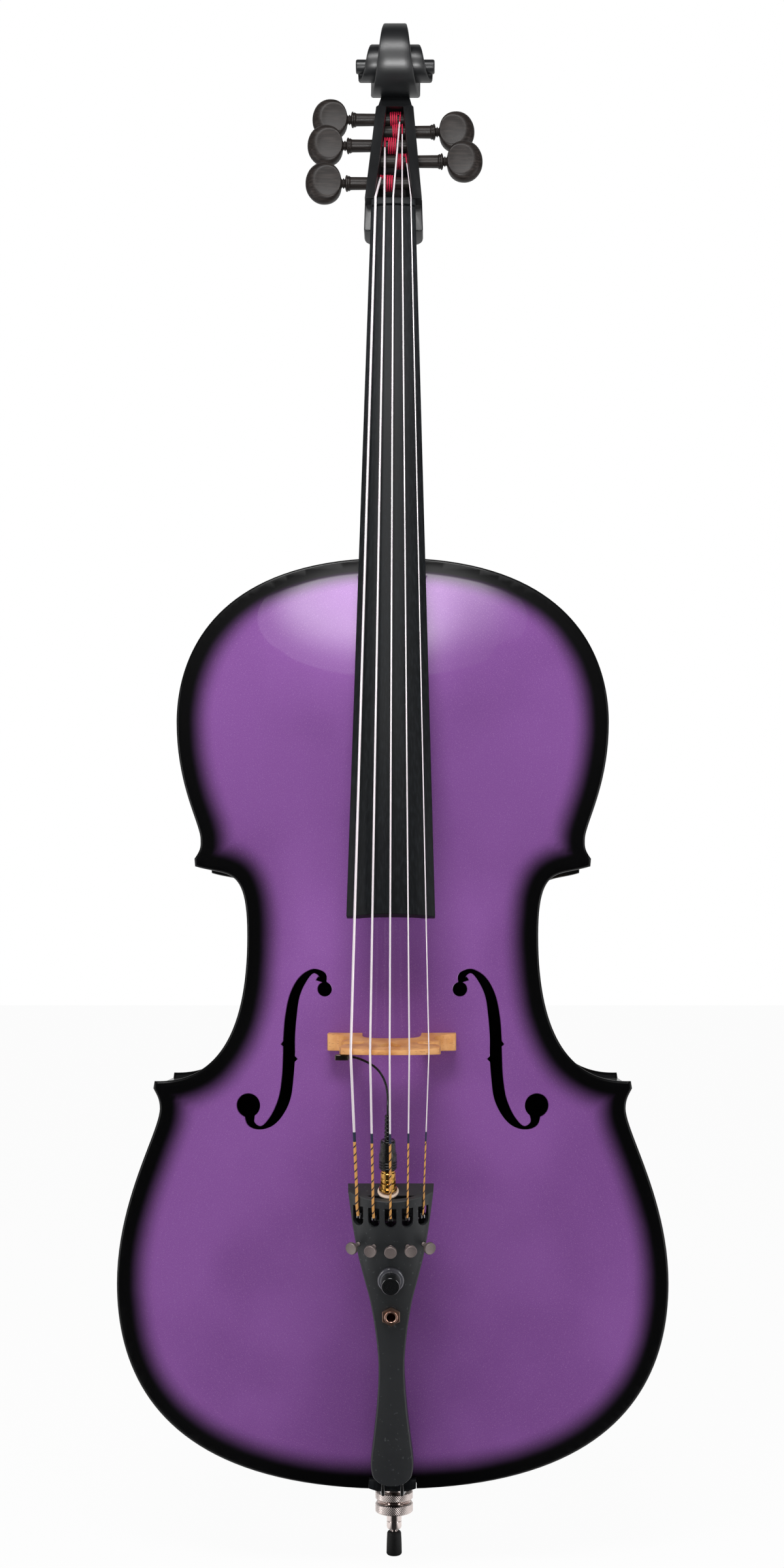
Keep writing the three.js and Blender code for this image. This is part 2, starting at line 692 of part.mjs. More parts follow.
function spiralRadius(angle) {
  const free = scrollRadius * spiralRatio ** ((Math.min(angle, eyeTurn) - spiralStart) / Math.PI);
  const closing = THREE.MathUtils.smoothstep(angle, 0.85 * eyeTurn, eyeTurn);
  return THREE.MathUtils.lerp(free, 0.9 * eyeRadius, closing);
}

function spiralHalf(angle) {
  const turns = angle / (2 * Math.PI);
  const k = widthShares.findIndex(([t], i) => i > 0 && turns <= t);
  const [[t0, w0], [t1, w1]] = [widthShares[k - 1], widthShares[k]];
  return eyeHalf * THREE.MathUtils.mapLinear(turns, t0, t1, w0, w1);
}

// One full turn of the scroll as a closed solid about the eye axis.
function scrollTurn(start, steps, hubHalf) {
  const points = [];
  const index = [];
  for (let i = 0; i <= steps; i += 1) {
    const angle = start + (i / steps) * 2 * Math.PI;
    const radius = spiralRadius(angle);
    const half = spiralHalf(angle);
    const at = (r, x) => points.push(new THREE.Vector3(x, r * Math.cos(angle), r * Math.sin(angle)));
    at(radius - scrollChamfer, half);
    at(radius, half - scrollChamfer);
    at(radius, scrollChamfer - half);
    at(radius - scrollChamfer, -half);
  }
  const [hubRight, hubLeft] = [points.length, points.length + 1];
  points.push(new THREE.Vector3(hubHalf, 0, 0), new THREE.Vector3(-hubHalf, 0, 0));
  const count = steps + 1;
  for (let i = 0; i < count; i += 1) {
    const [a, b] = [i * 4, ((i + 1) % count) * 4];
    for (let k = 0; k < 3; k += 1) index.push(a + k, a + k + 1, b + k + 1, a + k, b + k + 1, b + k);
    index.push(hubRight, a, b, hubLeft, b + 3, a + 3);
  }
  const geometry = new THREE.BufferGeometry().setFromPoints(points);
  geometry.setIndex(index);
  return tidied(geometry);
}

function scroll() {
  const start = -Math.PI / 9;
  const hubs = [0.3 * eyeHalf, 0.58 * eyeHalf, 0.95 * eyeHalf];
  const turns = hubs.map((hub, i) => scrollTurn(start + i * 2 * Math.PI, 20 - 4 * i, hub));
  const eye = alongX(turned([[0, -eyeHalf], [eyeRadius - scrollChamfer / 2, -eyeHalf],
    [eyeRadius, scrollChamfer / 2 - eyeHalf], [eyeRadius, eyeHalf - scrollChamfer / 2],
    [eyeRadius - scrollChamfer / 2, eyeHalf], [0, eyeHalf]], smallSides));
  return moved(joined(...turns, eye), 0, eyeDepth, eyeHeight);
}

// Pegs: height along the pegbox, side, how far out the collar sits, and the string's winding.
const pegTable = [
  { name: 'peg_1', heightShare: 0.325, side: -1, reachShare: 1, startShare: -0.84, wind: 1 },
  { name: 'peg_2', heightShare: 0.739, side: -1, reachShare: 1, startShare: -0.86, wind: 1 },
  { name: 'peg_3', heightShare: 1.033, side: -1, reachShare: 0.92, startShare: 0.66, wind: -1 },
  { name: 'peg_4', heightShare: 0.894, side: 1, reachShare: 0.84, startShare: 0.78, wind: -1 },
  { name: 'peg_5', heightShare: 0.564, side: 1, reachShare: 1.01, startShare: 0.88, wind: -1 },
];
const pegHeight = (peg) => peg.heightShare * pegboxLength;

function pegShank(peg, grow) {
  const wall = pegboxHalfAt(pegHeight(peg));
  const high = peg.reachShare * pegReach;
  const sign = grow ? overrun : -seatGap;
  return turned([[0, -wall - sign], [pegRadius - pegTaper + grow, -wall - sign], [pegRadius + grow, high], [0, high]],
    smallSides);
}

function pegBore(peg) {
  return moved(alongX(pegShank(peg, seatGap)).rotateZ(peg.side < 0 ? Math.PI : 0), 0, pegAxisDepth, pegHeight(peg));
}

function peg(entry) {
  const collar = entry.reachShare * pegReach;
  const waist = collar + pegCollarWidth;
  const headStart = waist + pegWaistLength - pegCollarWidth;
  const trim = turned([
    [0, collar - overrun], [pegRadius, collar - overrun], [pegCollarRadius, collar],
    [pegCollarRadius, waist - overrun / 2], [pegWaistRadius, waist], [pegWaistRadius, headStart - overrun / 2],
    [1.35 * pegWaistRadius, headStart], [1.35 * pegWaistRadius, headStart + overrun],
    [0, headStart + 2 * overrun]], smallSides);
  const head = new THREE.SphereGeometry(1, 12, 8)
    .rotateZ(Math.PI / 2)
    .scale(pegHeadHeight / 2, pegHeadThickness / 2, pegHeadLength / 2)
    .translate(0, 0, headStart + pegHeadLength / 2);
  return alongX(joined(pegShank(entry, 0), trim, head));
}

// Where each string leaves the nut, crosses the bridge and meets its tuner.
const stringShares = [-0.5, -0.25, 0, 0.25, 0.5];

// The string lies on its peg beside its own winding, a pitch away, so that the peg can turn.
function windingStart(i) {
  const entry = pegTable[i];
  const room = THREE.MathUtils.lerp(cavityHalfLow, cavityHalfHigh, entry.heightShare);
  const radius = pegRadius + seatGap + silkDiameters[i] / 2;
  const pitch = (silkDiameters[i] + windingGap) * entry.wind;
  return { x: entry.startShare * room, radius, height: pegHeight(entry), pitch };
}

function onPeg(i, x, angle, run) {
  const { radius, height } = windingStart(i);
  return new THREE.Vector3(x,
    pegAxisDepth - radius * Math.cos(angle) + run * Math.sin(angle),
    height + radius * Math.sin(angle) + run * Math.cos(angle));
}

// One unbroken helix about the peg, straight for a tube's diameter at each end.
function windingPoints(i) {
  const { x, pitch } = windingStart(i);
  const steps = 10;
  const count = windingTurns * steps;
  const points = [onPeg(i, x + pitch, 0, -silkDiameters[i])];
  for (let k = 0; k <= count; k += 1) {
    points.push(onPeg(i, x + pitch * (1 + k / steps), (k / steps) * 2 * Math.PI, 0));
  }
  points.push(onPeg(i, x + pitch * (1 + windingTurns), 0, silkDiameters[i]));
  return points;
}

function leastGap(points, diameter, apart) {
  let least = Infinity;
  points.forEach((p, i) => points.slice(i + apart).forEach((q) => {
    least = Math.min(least, p.distanceTo(q) - diameter);
  }));
  return least;
}

function winding(i) {
  const points = windingPoints(i);
  console.log(`${pegTable[i].name} winding gap ${leastGap(points, silkDiameters[i], 7).toFixed(2)} mm`);
  return rod(points, silkDiameters[i] / 2, 5);
}

function nutPoint(i, share) {
  const x = stringShares[i] * nutSpread;
  const lift = nutRise + seatGap + stringDiameters[i] / 2;
  return new THREE.Vector3(x, crownDrop(x, boardRadius) - lift, neckLength + seatGap + share * nutLength)
    .applyMatrix4(neckFrame);
}

function bridgePoint(i) {
  const x = stringShares[i] * bridgeSpread;
  const seat = seatGap + stringDiameters[i] / 2 + bridgeTopThickness / 7;
  const lift = bridgeHeight - crownDrop(x, bridgeCrownRadius) + seat;
  return new THREE.Vector3(x, -edgeHalf - lift, bridgePlace);
}

const tunerAngle = THREE.MathUtils.degToRad(14.5);

// A point on a tuner's own radial plane, by its height over the tailpiece's crown.
function tunerPoint(i, over, along) {
  const angle = tunerAngle * (i - 2);
  const radius = tailRadius + over;
  return new THREE.Vector3(radius * Math.sin(angle), tailRadius - radius * Math.cos(angle), -along);
}

function string(i) {
  const radius = stringDiameters[i] / 2;
  const { x } = windingStart(i);
  const silk = radius + silkExtra / 2;
  const wrap = [0.4, 0.27, 0.13, 0].map((share) => onPeg(i, x, share * Math.PI, 0).applyMatrix4(headInBody));
  const crown = bridgePoint(i);
  const edge = tunerPoint(i, silk + seatGap, 0).applyMatrix4(tailFrame);
  const rim = tunerPoint(i, silk + seatGap, slotStart - overrun).applyMatrix4(tailFrame);
  const hook = tunerPoint(i, silk - leverThickness / 2, leverPivotPlace - 2 * leverThickness).applyMatrix4(tailFrame);
  const silkStart = crown.clone().lerp(edge, 0.62);
  const silkNext = crown.clone().lerp(edge, 0.63);
  const points = [...wrap, nutPoint(i, 1), nutPoint(i, 0), crown, silkStart, silkNext, edge, rim, hook];
  const thin = wrap.map(() => silkDiameters[i] / 2);
  const radii = [...thin, radius, radius, radius, radius, silk, silk, silk, silk];
  return rod(points, radii, 6);
}

// Body pieces

function ribStrip(pieces) {
  const outer = insetCurve(pieces, edgeOverhang);
  const inner = insetCurve(pieces, edgeOverhang + ribThickness).reverse();
  return slab([...outer, ...inner], seatGap - ribHalf, ribHalf - seatGap);
}

const lowerTip = new THREE.Vector2(lowerCornerHalf, 0.434 * bodyLength);
const upperTip = new THREE.Vector2(upperCornerHalf, 0.6727 * bodyLength);
const lowerMitreShares = [-0.73, -0.68];
const upperMitreShares = [-0.91, 0.41];

// Everything on one side of a corner's mitre line.
function mitreSide(tip, [dx, dz], sign) {
  const reach = cornerBlockReach;
  const along = new THREE.Vector2(dx, dz).normalize().multiplyScalar(reach);
  const off = new THREE.Vector2(-along.y, along.x).multiplyScalar(sign);
  const gap = off.clone().multiplyScalar(-seatGap / (2 * reach));
  const from = tip.clone().sub(along).add(gap);
  const to = tip.clone().add(along).add(gap);
  return slab([from, to, to.clone().add(off), from.clone().add(off)], -farOut, farOut);
}

function ribs() {
  const socketHole = cylinder(socketPlugRadius + seatGap, -bodyLength, bodyLength);
  const middleGap = block(-seatGap / 2, seatGap / 2, -farOut, farOut, -overrun, bodyLength + overrun);
  const rootHole = framed(neckRoot(seatGap), neckFrame);
  const lower = cut(ribStrip(lowerCurveShares), mitreSide(lowerTip, lowerMitreShares, -1), socketHole, middleGap);
  const waist = cut(ribStrip(waistCurveShares), mitreSide(lowerTip, lowerMitreShares, 1),
    mitreSide(upperTip, upperMitreShares, -1));
  const upper = cut(ribStrip(upperCurveShares), mitreSide(upperTip, upperMitreShares, 1), rootHole, middleGap);
  return { lower, waist, upper };
}

function mirrorX(geometry) {
  return tidied(geometry.clone().scale(-1, 1, 1));
}

function insideLower(inset) {
  const right = insetCurve(lowerCurveShares, inset);
  const end = right[right.length - 1].clone().add(new THREE.Vector2(cornerBlockReach / 2, cornerBlockReach));
  return slab([...right, end, ...mirrored([...right, end]).slice(0, -1)], seatGap - ribHalf, ribHalf - seatGap);
}

function insideUpper(inset) {
  const right = insetCurve(upperCurveShares, inset);
  const start = right[0].clone().add(new THREE.Vector2(cornerBlockReach / 2, -cornerBlockReach));
  return slab([start, ...right, ...mirrored([start, ...right]).slice(1)], seatGap - ribHalf, ribHalf - seatGap);
}

function waistBay(inset) {
  const curve = insetCurve(waistCurveShares, inset);
  const low = curve[0].clone().add(new THREE.Vector2(cornerBlockReach, 0));
  const high = curve[curve.length - 1].clone().add(new THREE.Vector2(cornerBlockReach, cornerBlockReach / 3));
  return slab([low, ...curve, high], -ribHalf, ribHalf);
}

function blocks() {
  const inset = edgeOverhang + ribThickness + seatGap;
  const socketHole = cylinder(socketPlugRadius + seatGap, -bodyLength, bodyLength);
  const disc = (tip) => moved(alongY(cylinder(cornerBlockReach, -ribHalf, ribHalf)), tip.x, 0, tip.y);
  const lower = cut(common(insideLower(inset), disc(lowerTip)), waistBay(inset));
  const upper = cut(common(insideUpper(inset), disc(upperTip)), waistBay(inset));
  const bottom = cut(common(insideLower(inset), block(-bottomBlockWidth / 2, bottomBlockWidth / 2,
    -ribHalf, ribHalf, 0, edgeOverhang + bottomBlockDepth)), socketHole);
  const top = cut(common(insideUpper(inset), block(-topBlockWidth / 2, topBlockWidth / 2,
    -ribHalf, ribHalf, bodyLength - edgeOverhang - topBlockDepth, bodyLength)),
  framed(neckRoot(seatGap), neckFrame));
  return { lower, upper, bottom, top };
}

function saddleShape(grow) {
  const [front, back] = [-edgeHalf - saddleHeight, seatGap - ribHalf];
  const outline = grow
    ? [[front, -overrun], [front, saddleDepth + grow], [back, saddleDepth + grow], [back, -overrun]]
    : [[front + saddleBevel, 0], [front, saddleBevel], [front, saddleDepth - saddleBevel],
      [front + saddleBevel / 2, saddleDepth], [back - seatGap, saddleDepth], [back - seatGap, 0]];
  return sideSlab(outline.map(([y, z]) => new THREE.Vector2(y, z)), 2 * (saddleHalf + grow));
}

function topPlate() {
  const blank = common(
    fieldSlab((x, z) => -outerFace(x, z), (x, z) => -innerFace(x, z)),
    slab(bodyOutline(), -farOut, 0));
  return cut(blank, fHoleCutter(-1), fHoleCutter(1), framed(neckRoot(seatGap), neckFrame),
    saddleShape(seatGap));
}

function backPlate() {
  const blank = common(fieldSlab(innerFace, outerFace), slab(bodyOutline(), 0, farOut));
  const button = moved(alongY(cylinder(buttonRadius, ribHalf, edgeHalf)), 0, 0, bodyLength - buttonRadius / 6);
  return joined(blank, button);
}

function bassBar() {
  const low = (bodyLength - bassBarLength) / 2;
  const high = low + bassBarLength;
  const deep = bassBarHeight - ribHalf - archHeight;
  const thin = bassBarHeight / 4 - ribHalf;
  const outline = [[-farOut, low], [thin, low], [deep, low + bassBarLength / 3], [deep, high - bassBarLength / 3],
    [thin, high], [-farOut, high]].map(([y, z]) => new THREE.Vector2(y, z));
  const bar = moved(sideSlab(outline, bassBarWidth), stringShares[0] * bridgeSpread * 0.75, 0, 0);
  return cut(bar, frontKeepOut());
}

function soundPost() {
  const post = moved(alongY(cylinder(soundPostRadius, -farOut, farOut, smallSides)),
    bridgeSpan / 4, 0, bridgePlace - 2 * bridgeFootThickness);
  return cut(post, frontKeepOut(), backKeepOut());
}

// Bridge: a blank in the X-Y view, fitted to the arch, thinned from the feet to the crown.
const bridgeSideShares = [
  [0.755, 0.83], [0.735, 0.76], [0.7, 0.7], [0.5, 0.685], [0.4, 0.635], [0.42, 0.565], [0.55, 0.555],
  [0.7, 0.565], [0.75, 0.51], [0.68, 0.45], [0.66, 0.36], [0.72, 0.26], [0.83, 0.19], [0.98, 0.165], [1, 0.13],
  [1, -0.4], [0.56, -0.4], [0.56, 0.13], [0.52, 0.19], [0.44, 0.27], [0.3, 0.345], [0, 0.385],
];
const bridgeHeartShares = [[0, 0.79], [0.09, 0.83], [0.16, 0.8], [0.16, 0.74], [0.09, 0.67], [0, 0.585]];

function bridge() {
  const half = bridgeSpan / 2;
  const foot = outerFace(0, bridgePlace);
  const tall = edgeHalf + bridgeHeight - foot;
  const crown = [];
  for (let i = 0; i <= 6; i += 1) {
    const x = (i / 6) * bridgeCrownHalf;
    crown.push(new THREE.Vector2(x, tall - crownDrop(x, bridgeCrownRadius)));
  }
  const right = [...crown, ...bridgeSideShares.map(([x, y]) => new THREE.Vector2(x * half, y * tall))];
  const shape = new THREE.Shape([...right, ...mirrored(right.slice(1, -1))]);
  const heart = bridgeHeartShares.map(([x, y]) => new THREE.Vector2(x * half, y * tall));
  shape.holes.push(new THREE.Path([...heart, ...mirrored(heart.slice(1, -1))].reverse()));
  const blank = new THREE.ExtrudeGeometry(shape, { depth: bridgeFootThickness, bevelEnabled: false })
    .scale(1, -1, 1)
    .translate(0, -foot, bridgePlace - bridgeTopThickness / 2);
  const back = bridgePlace - bridgeTopThickness / 2 - overrun;
  const front = -foot - tall - overrun;
  const wedge = sideSlab([[front, back], [front, back + overrun + bridgeTopThickness],
    [-foot - 0.12 * tall, back + overrun + bridgeFootThickness], [0, back + overrun + bridgeFootThickness], [0, back]]
    .map(([y, z]) => new THREE.Vector2(y, z)), 2 * bridgeSpan);
  return cut(common(blank, wedge), frontTopSide());
}

// Pickup on the tailpiece side of the bridge's bass wing, with its lead to the plug.
const pickupCentre = () => new THREE.Vector3(
  -0.72 * bridgeSpan / 2, -edgeHalf - 0.83 * bridgeHeight,
  bridgePlace - bridgeTopThickness / 2 - seatGap - pickupThickness / 2);

function pickup() {
  const centre = pickupCentre();
  const bevel = pickupThickness / 5;
  const ring = (w, h, z) => [[-w, -h + bevel], [-w + bevel, -h], [w - bevel, -h], [w, -h + bevel],
    [w, h - bevel], [w - bevel, h], [-w + bevel, h], [-w, h - bevel]]
    .map(([x, y]) => new THREE.Vector3(x, y, z));
  const [w, h, t] = [pickupWidth / 2, pickupHeight / 2, pickupThickness / 2];
  const body = loft([ring(w - bevel, h - bevel, -t), ring(w, h, bevel - t), ring(w, h, t)]);
  return moved(body, centre.x, centre.y, centre.z);
}

function leadRoute() {
  const centre = pickupCentre();
  const start = new THREE.Vector3(centre.x + pickupWidth / 2 + seatGap, centre.y, centre.z);
  const plugEnd = (over) => new THREE.Vector3(inputJackOffset, inputJackDepth, reliefEnd + over)
    .applyMatrix4(tailFrame);
  const end = plugEnd(seatGap);
  const chosen = [
    [-25.6, 0.6, 354.2], [-20.4, 1.9, 352.2], [-15.8, 3.3, 349.8], [-11.6, 4.5, 346.8], [-8.1, 5.3, 343],
    [-5.4, 5.6, 338.6], [-3.5, 5.2, 333.6], [-2.4, 4.4, 328.2], [-1.9, 3.3, 322.6],
  ];
  const route = chosen.map(([x, y, z]) => new THREE.Vector3(x, centre.y + y, z));
  return [start, start.clone().add(new THREE.Vector3(2 * leadDiameter, 0, 0)), ...route,
    plugEnd(3 * leadDiameter), plugEnd(leadDiameter), end];
}

function pickupLead() {
  const curve = new THREE.CatmullRomCurve3(leadRoute(), false, 'centripetal');
  console.log(`pickup lead length ${curve.getLength().toFixed(1)} mm`);
  const circle = Array.from({ length: 8 }, (_, k) => new THREE.Vector2(
    (leadDiameter / 2) * Math.cos((k * Math.PI) / 4), (leadDiameter / 2) * Math.sin((k * Math.PI) / 4)));
  return tidied(new THREE.ExtrudeGeometry(new THREE.Shape(circle), { steps: 18, extrudePath: curve }));
}

// Tailpiece and its fittings, in the tailpiece's frame: z runs up from the arched face's top end.
const tailWidthShares = [[0, 1], [0.116, 0.892], [0.21, 0.775], [0.29, 0.631], [0.37, 0.483], [0.478, 0.363],
  [0.57, 0.308], [0.635, 0.312], [0.74, 0.363], [0.847, 0.447], [0.93, 0.51], [0.965, 0.48], [0.988, 0.36],
  [1, 0.16]];

const tailDepthAt = (share) => THREE.MathUtils.lerp(tailDepthHigh, tailDepthLow, Math.sqrt(share));

function tailWidthAt(along) {
  const share = THREE.MathUtils.clamp(along / tailLength, 0, 1);
  const k = Math.max(tailWidthShares.findIndex(([s]) => share <= s), 1);
  const [[s0, w0], [s1, w1]] = [tailWidthShares[k - 1], tailWidthShares[k]];
  return tailHalf * THREE.MathUtils.mapLinear(share, s0, s1, w0, w1);
}

function tailRing(along, wall, bottom) {
  const half = tailWidthAt(along) - wall;
  const radius = tailRadius - wall;
  const steps = 8;
  const ring = [];
  for (let i = 0; i <= steps; i += 1) {
    const x = THREE.MathUtils.lerp(-half, half, i / steps);
    ring.push(new THREE.Vector3(x, tailRadius - Math.sqrt(radius ** 2 - x ** 2), -along));
  }
  ring.push(new THREE.Vector3(half, bottom, -along), new THREE.Vector3(-half, bottom, -along));
  return ring;
}

const tunerFrame = (i) => new THREE.Matrix4().makeTranslation(0, tailRadius, 0)
  .multiply(new THREE.Matrix4().makeRotationZ(tunerAngle * (i - 2)))
  .multiply(new THREE.Matrix4().makeTranslation(0, -tailRadius, 0));

function slotCutter(i) {
  const half = slotWidth / 2;
  const outline = [];
  for (let k = 0; k <= 6; k += 1) {
    const angle = Math.PI * (1 + k / 6);
    outline.push(new THREE.Vector2(half * Math.cos(angle), half * Math.sin(angle) - slotStart - slotLength + half));
  }
  outline.push(new THREE.Vector2(half, -slotStart), new THREE.Vector2(-half, -slotStart));
  return framed(slab(outline, -tailDepthHigh, tailWall + overrun), tunerFrame(i));
}

function lug(i) {
  const web = block(-lugThickness / 2, lugThickness / 2, tailWall / 2, leverPivotDepth + 2 * leverPinRadius,
    -leverPivotPlace - 2 * leverPinRadius, -leverPivotPlace + 2 * leverPinRadius);
  return framed(web, tunerFrame(i - 0.5));
}

const leverPinHalf = (tailRadius - leverPivotDepth) * Math.sin(tunerAngle / 2) - lugThickness / 5;

function leverPin(grow) {
  return moved(alongX(cylinder(leverPinRadius + grow, -leverPinHalf - grow, leverPinHalf + grow, pinSides)),
    0, leverPivotDepth, -leverPivotPlace);
}

function tailpiece() {
  const blank = loft(tailWidthShares.map(([share]) => tailRing(share * tailLength, 0, tailDepthAt(share))));
  const hollowShares = [tailWall * 1.4, 0.116 * tailLength, 0.21 * tailLength, 0.29 * tailLength,
    0.37 * tailLength, tailCavityLength];
  const hollow = loft(hollowShares.map((along) => tailRing(along, tailWall, tailDepthHigh + overrun)));
  const lugs = [0, 1, 2, 3, 4, 5].map(lug);
  const inputHole = moved(cylinder(jackBushRadius - seatGap, -tailWall * 3, overrun), inputJackOffset, inputJackDepth, 0);
  const faceHole = (radius, along) => moved(alongY(cylinder(radius, -tailDepthLow, tailDepthLow)), 0, 0, -along);
  const gutHoles = [-1, 1].map((side) => moved(cylinder(gutRadius + seatGap, -2 * tailLength, 0, pinSides),
    side * gutHalfSpacing, tailDepthLow * 0.62, 12 * gutRadius - tailLength));
  const tuners = [0, 1, 2, 3, 4].flatMap((i) => [
    slotCutter(i),
    framed(moved(alongY(cylinder(screwRadius + seatGap, -tailWall * 2, tailWall * 2, pinSides)), 0, 0, -tunerPlace),
      tunerFrame(i)),
    framed(leverPin(seatGap / 2), tunerFrame(i)),
  ]);
  return cut(joined(cut(blank, hollow), ...lugs), inputHole, faceHole(potBushRadius + seatGap, knobPlace),
    faceHole(jackBushRadius + seatGap, jackPlace), ...gutHoles, ...tuners);
}

function tunerLever() {
  const top = silkExtra;
  const [near, far] = [leverPivotPlace - 2 * leverThickness, tunerPlace + 1.3 * screwRadius];
  const low = leverPivotDepth + leverThickness / 2;
  const outline = [[top, -near], [top, -near - leverThickness], [low - leverThickness, -near - 1.6 * leverThickness],
    [low - leverThickness, -far], [low, -far], [low, -near + leverThickness / 3],
    [leverPivotDepth / 2, -near + leverThickness / 3]]
    .map(([y, z]) => new THREE.Vector2(y, z));
  const notch = block(-leverWidth / 5, leverWidth / 5, -overrun, leverPivotDepth / 3,
    -near - 2 * leverThickness, -near + leverThickness);
  return cut(joined(sideSlab(outline, leverWidth), leverPin(0)), notch);
}

function tunerScrew() {
  const tip = leverPivotDepth - leverThickness / 2 - seatGap;
  const [head, under] = [-screwHeadHeight, screwHeadThickness - screwHeadHeight];
  const rim = screwHeadThickness / 6;
  const profile = [[0, head], [screwHeadRadius - rim, head], [screwHeadRadius, head + rim],
    [screwHeadRadius, under - rim], [screwHeadRadius - rim, under], [1.2 * screwRadius, under],
    [screwRadius, under + rim], [screwRadius, tip - rim], [screwRadius / 2, tip], [0, tip]];
  return moved(alongY(turned(profile, smallSides - 2)), 0, 0, -tunerPlace);
}

function volumeKnob() {
  const rim = knobSkirtHeight / 8;
  const [skirt, grip] = [-knobSkirtHeight - seatGap, -knobSkirtHeight - knobGripHeight];
  const profile = [[0, grip], [knobGripRadius - rim, grip], [knobGripRadius, grip + rim],
    [knobGripRadius * 1.04, skirt], [knobSkirtRadius - rim, skirt], [knobSkirtRadius, skirt + rim],
    [knobSkirtRadius, -seatGap], [knobStemRadius, -seatGap], [knobStemRadius, tailWall], [0, tailWall]];
  return moved(alongY(turned(profile, 18)), 0, 0, -knobPlace);
}

function volumePot() {
  const low = tailWall + crownDrop(potRadius, tailRadius - tailWall) + seatGap;
  const profile = [[0, low + potHeight], [potRadius, low + potHeight], [potRadius, low], [potBushRadius, low],
    [potBushRadius, seatGap], [knobStemRadius + seatGap, seatGap], [knobStemRadius + seatGap, low + seatGap],
    [0, low + seatGap]];
  return moved(alongY(turned(profile)), 0, 0, -knobPlace);
}

function outputJack() {
  const shoulder = tailWall + crownDrop(jackBarrelRadius, tailRadius - tailWall) + seatGap;
  const lip = -jackNutThickness - 2 * seatGap - overrun;
  const profile = [[jackBoreRadius, lip], [jackBushRadius, lip], [jackBushRadius, shoulder],
    [jackBarrelRadius, shoulder], [jackBarrelRadius, jackDepth], [0, jackDepth], [0, jackDepth - overrun],
    [jackBoreRadius, jackDepth - overrun]];
  const hex = moved(new THREE.CylinderGeometry(jackNutRadius, jackNutRadius, jackNutThickness, 6),
    0, -jackNutThickness / 2 - seatGap, 0);
  const hole = alongY(cylinder((jackBoreRadius + jackBushRadius) / 2, -2 * jackNutThickness, 0));
  return moved(joined(alongY(turned([...profile, profile[0]])), cut(hex, hole)), 0, 0, -jackPlace);
}

function inputJack() {
  const bush = jackBushRadius - 2 * seatGap;
  const lip = plugShellStart - seatGap;
  const profile = [[0, -tailWall * 2], [bush, -tailWall * 2], [bush, seatGap], [inputFlangeRadius, seatGap],
    [inputFlangeRadius, inputFlangeThickness], [plugShellRadius, inputFlangeThickness + overrun / 2],
    [plugShellRadius, lip], [inputBoreRadius, lip], [inputBoreRadius, lip - plugPinLength - overrun],
    [0, lip - plugPinLength - overrun]];
  return moved(turned(profile), inputJackOffset, inputJackDepth, 0);
}

function plugShell() {
  const profile = [[0, plugShellStart - plugPinLength], [inputBoreRadius - seatGap, plugShellStart - plugPinLength],
    [inputBoreRadius - seatGap, plugShellStart], [plugShellRadius, plugShellStart],
    [plugShellRadius, plugShellEnd], [0, plugShellEnd]];
  return moved(turned(profile), inputJackOffset, inputJackDepth, 0);
}

function plugBody() {
  const start = plugShellEnd + seatGap;
  const groove = overrun / 2;
  const profile = [[0, start], [plugBodyRadius, start]];
  for (let k = 0; k < 2; k += 1) {
    const z = start + (2 * k + 1) * 2 * overrun;
    profile.push([plugBodyRadius, z], [plugBodyRadius - groove, z + groove],
      [plugBodyRadius - groove, z + 2 * groove], [plugBodyRadius, z + 3 * groove]);
  }
  profile.push([plugBodyRadius, 0.72 * plugBodyEnd], [0.83 * plugBodyRadius, 0.78 * plugBodyEnd],
    [0.8 * plugBodyRadius, plugBodyEnd - overrun], [0.7 * plugBodyRadius, plugBodyEnd], [reliefRadius, plugBodyEnd]);
  const ridges = 4;
  const pitch = (reliefEnd - plugBodyEnd) / ridges;
  for (let k = 0; k < ridges; k += 1) {
    const z = plugBodyEnd + k * pitch;
    profile.push([0.78 * reliefRadius, z + 0.3 * pitch], [reliefRadius, z + 0.5 * pitch],
      [reliefRadius, z + pitch]);
  }
  profile.push([0, reliefEnd]);
  return moved(turned(profile, smallSides), inputJackOffset, inputJackDepth, 0);
}

function tailGut() {
  const clear = gutRadius + seatGap;
  const crest = -edgeHalf - saddleHeight - clear;
  const loop = socketNeckRadius + clear;
  const loopHeight = edgeOverhang - seatGap - socketFlangeWidth - 0.6 * socketNeckLength;
  const hole = (side, up) => new THREE.Vector3(side * gutHalfSpacing, tailDepthLow * 0.62, up - tailLength)
    .applyMatrix4(tailFrame);
  const strand = (side) => [
    hole(side, 8 * gutRadius), hole(side, -overrun),
    new THREE.Vector3(side * gutHalfSpacing, crest, saddleDepth - saddleBevel),
    new THREE.Vector3(side * gutHalfSpacing, crest, saddleBevel),
    new THREE.Vector3(side * gutHalfSpacing, crest + saddleBevel, -clear),
    new THREE.Vector3(side * gutHalfSpacing * 1.15, -ribHalf + clear, -2 * clear),
  ];
  const round = Array.from({ length: 9 }, (_, k) => {
    const angle = Math.PI * (k / 8);
    return new THREE.Vector3(-loop * Math.cos(angle), loop * Math.sin(angle), loopHeight);
  });
  return rod([...strand(-1), ...round, ...strand(1).reverse()], gutRadius, 6);
}

// Endpin, in the model's own frame

function endpinTip() {
  const bevel = tipRadius / 5;
  const socket = rodNeckRadius + seatGap;
  const profile = [[0, 0], [tipRadius - bevel, 0], [tipRadius, bevel], [0.92 * tipRadius, tipLength - bevel],
    [0.82 * tipRadius, tipLength], [socket, tipLength], [socket, tipLength - tipSocketDepth],
    [0, tipLength - tipSocketDepth]];
  return turned(profile);
}

function endpinRod() {
  const low = tipLength - tipSocketDepth + seatGap;
  const step = tipLength + rodNeckLength;
  const profile = [[0, low], [rodNeckRadius, low], [rodNeckRadius, step], [rodRadius, step + overrun],
    [rodRadius, step + rodLength], [0, step + rodLength]];
  return turned(profile);
}

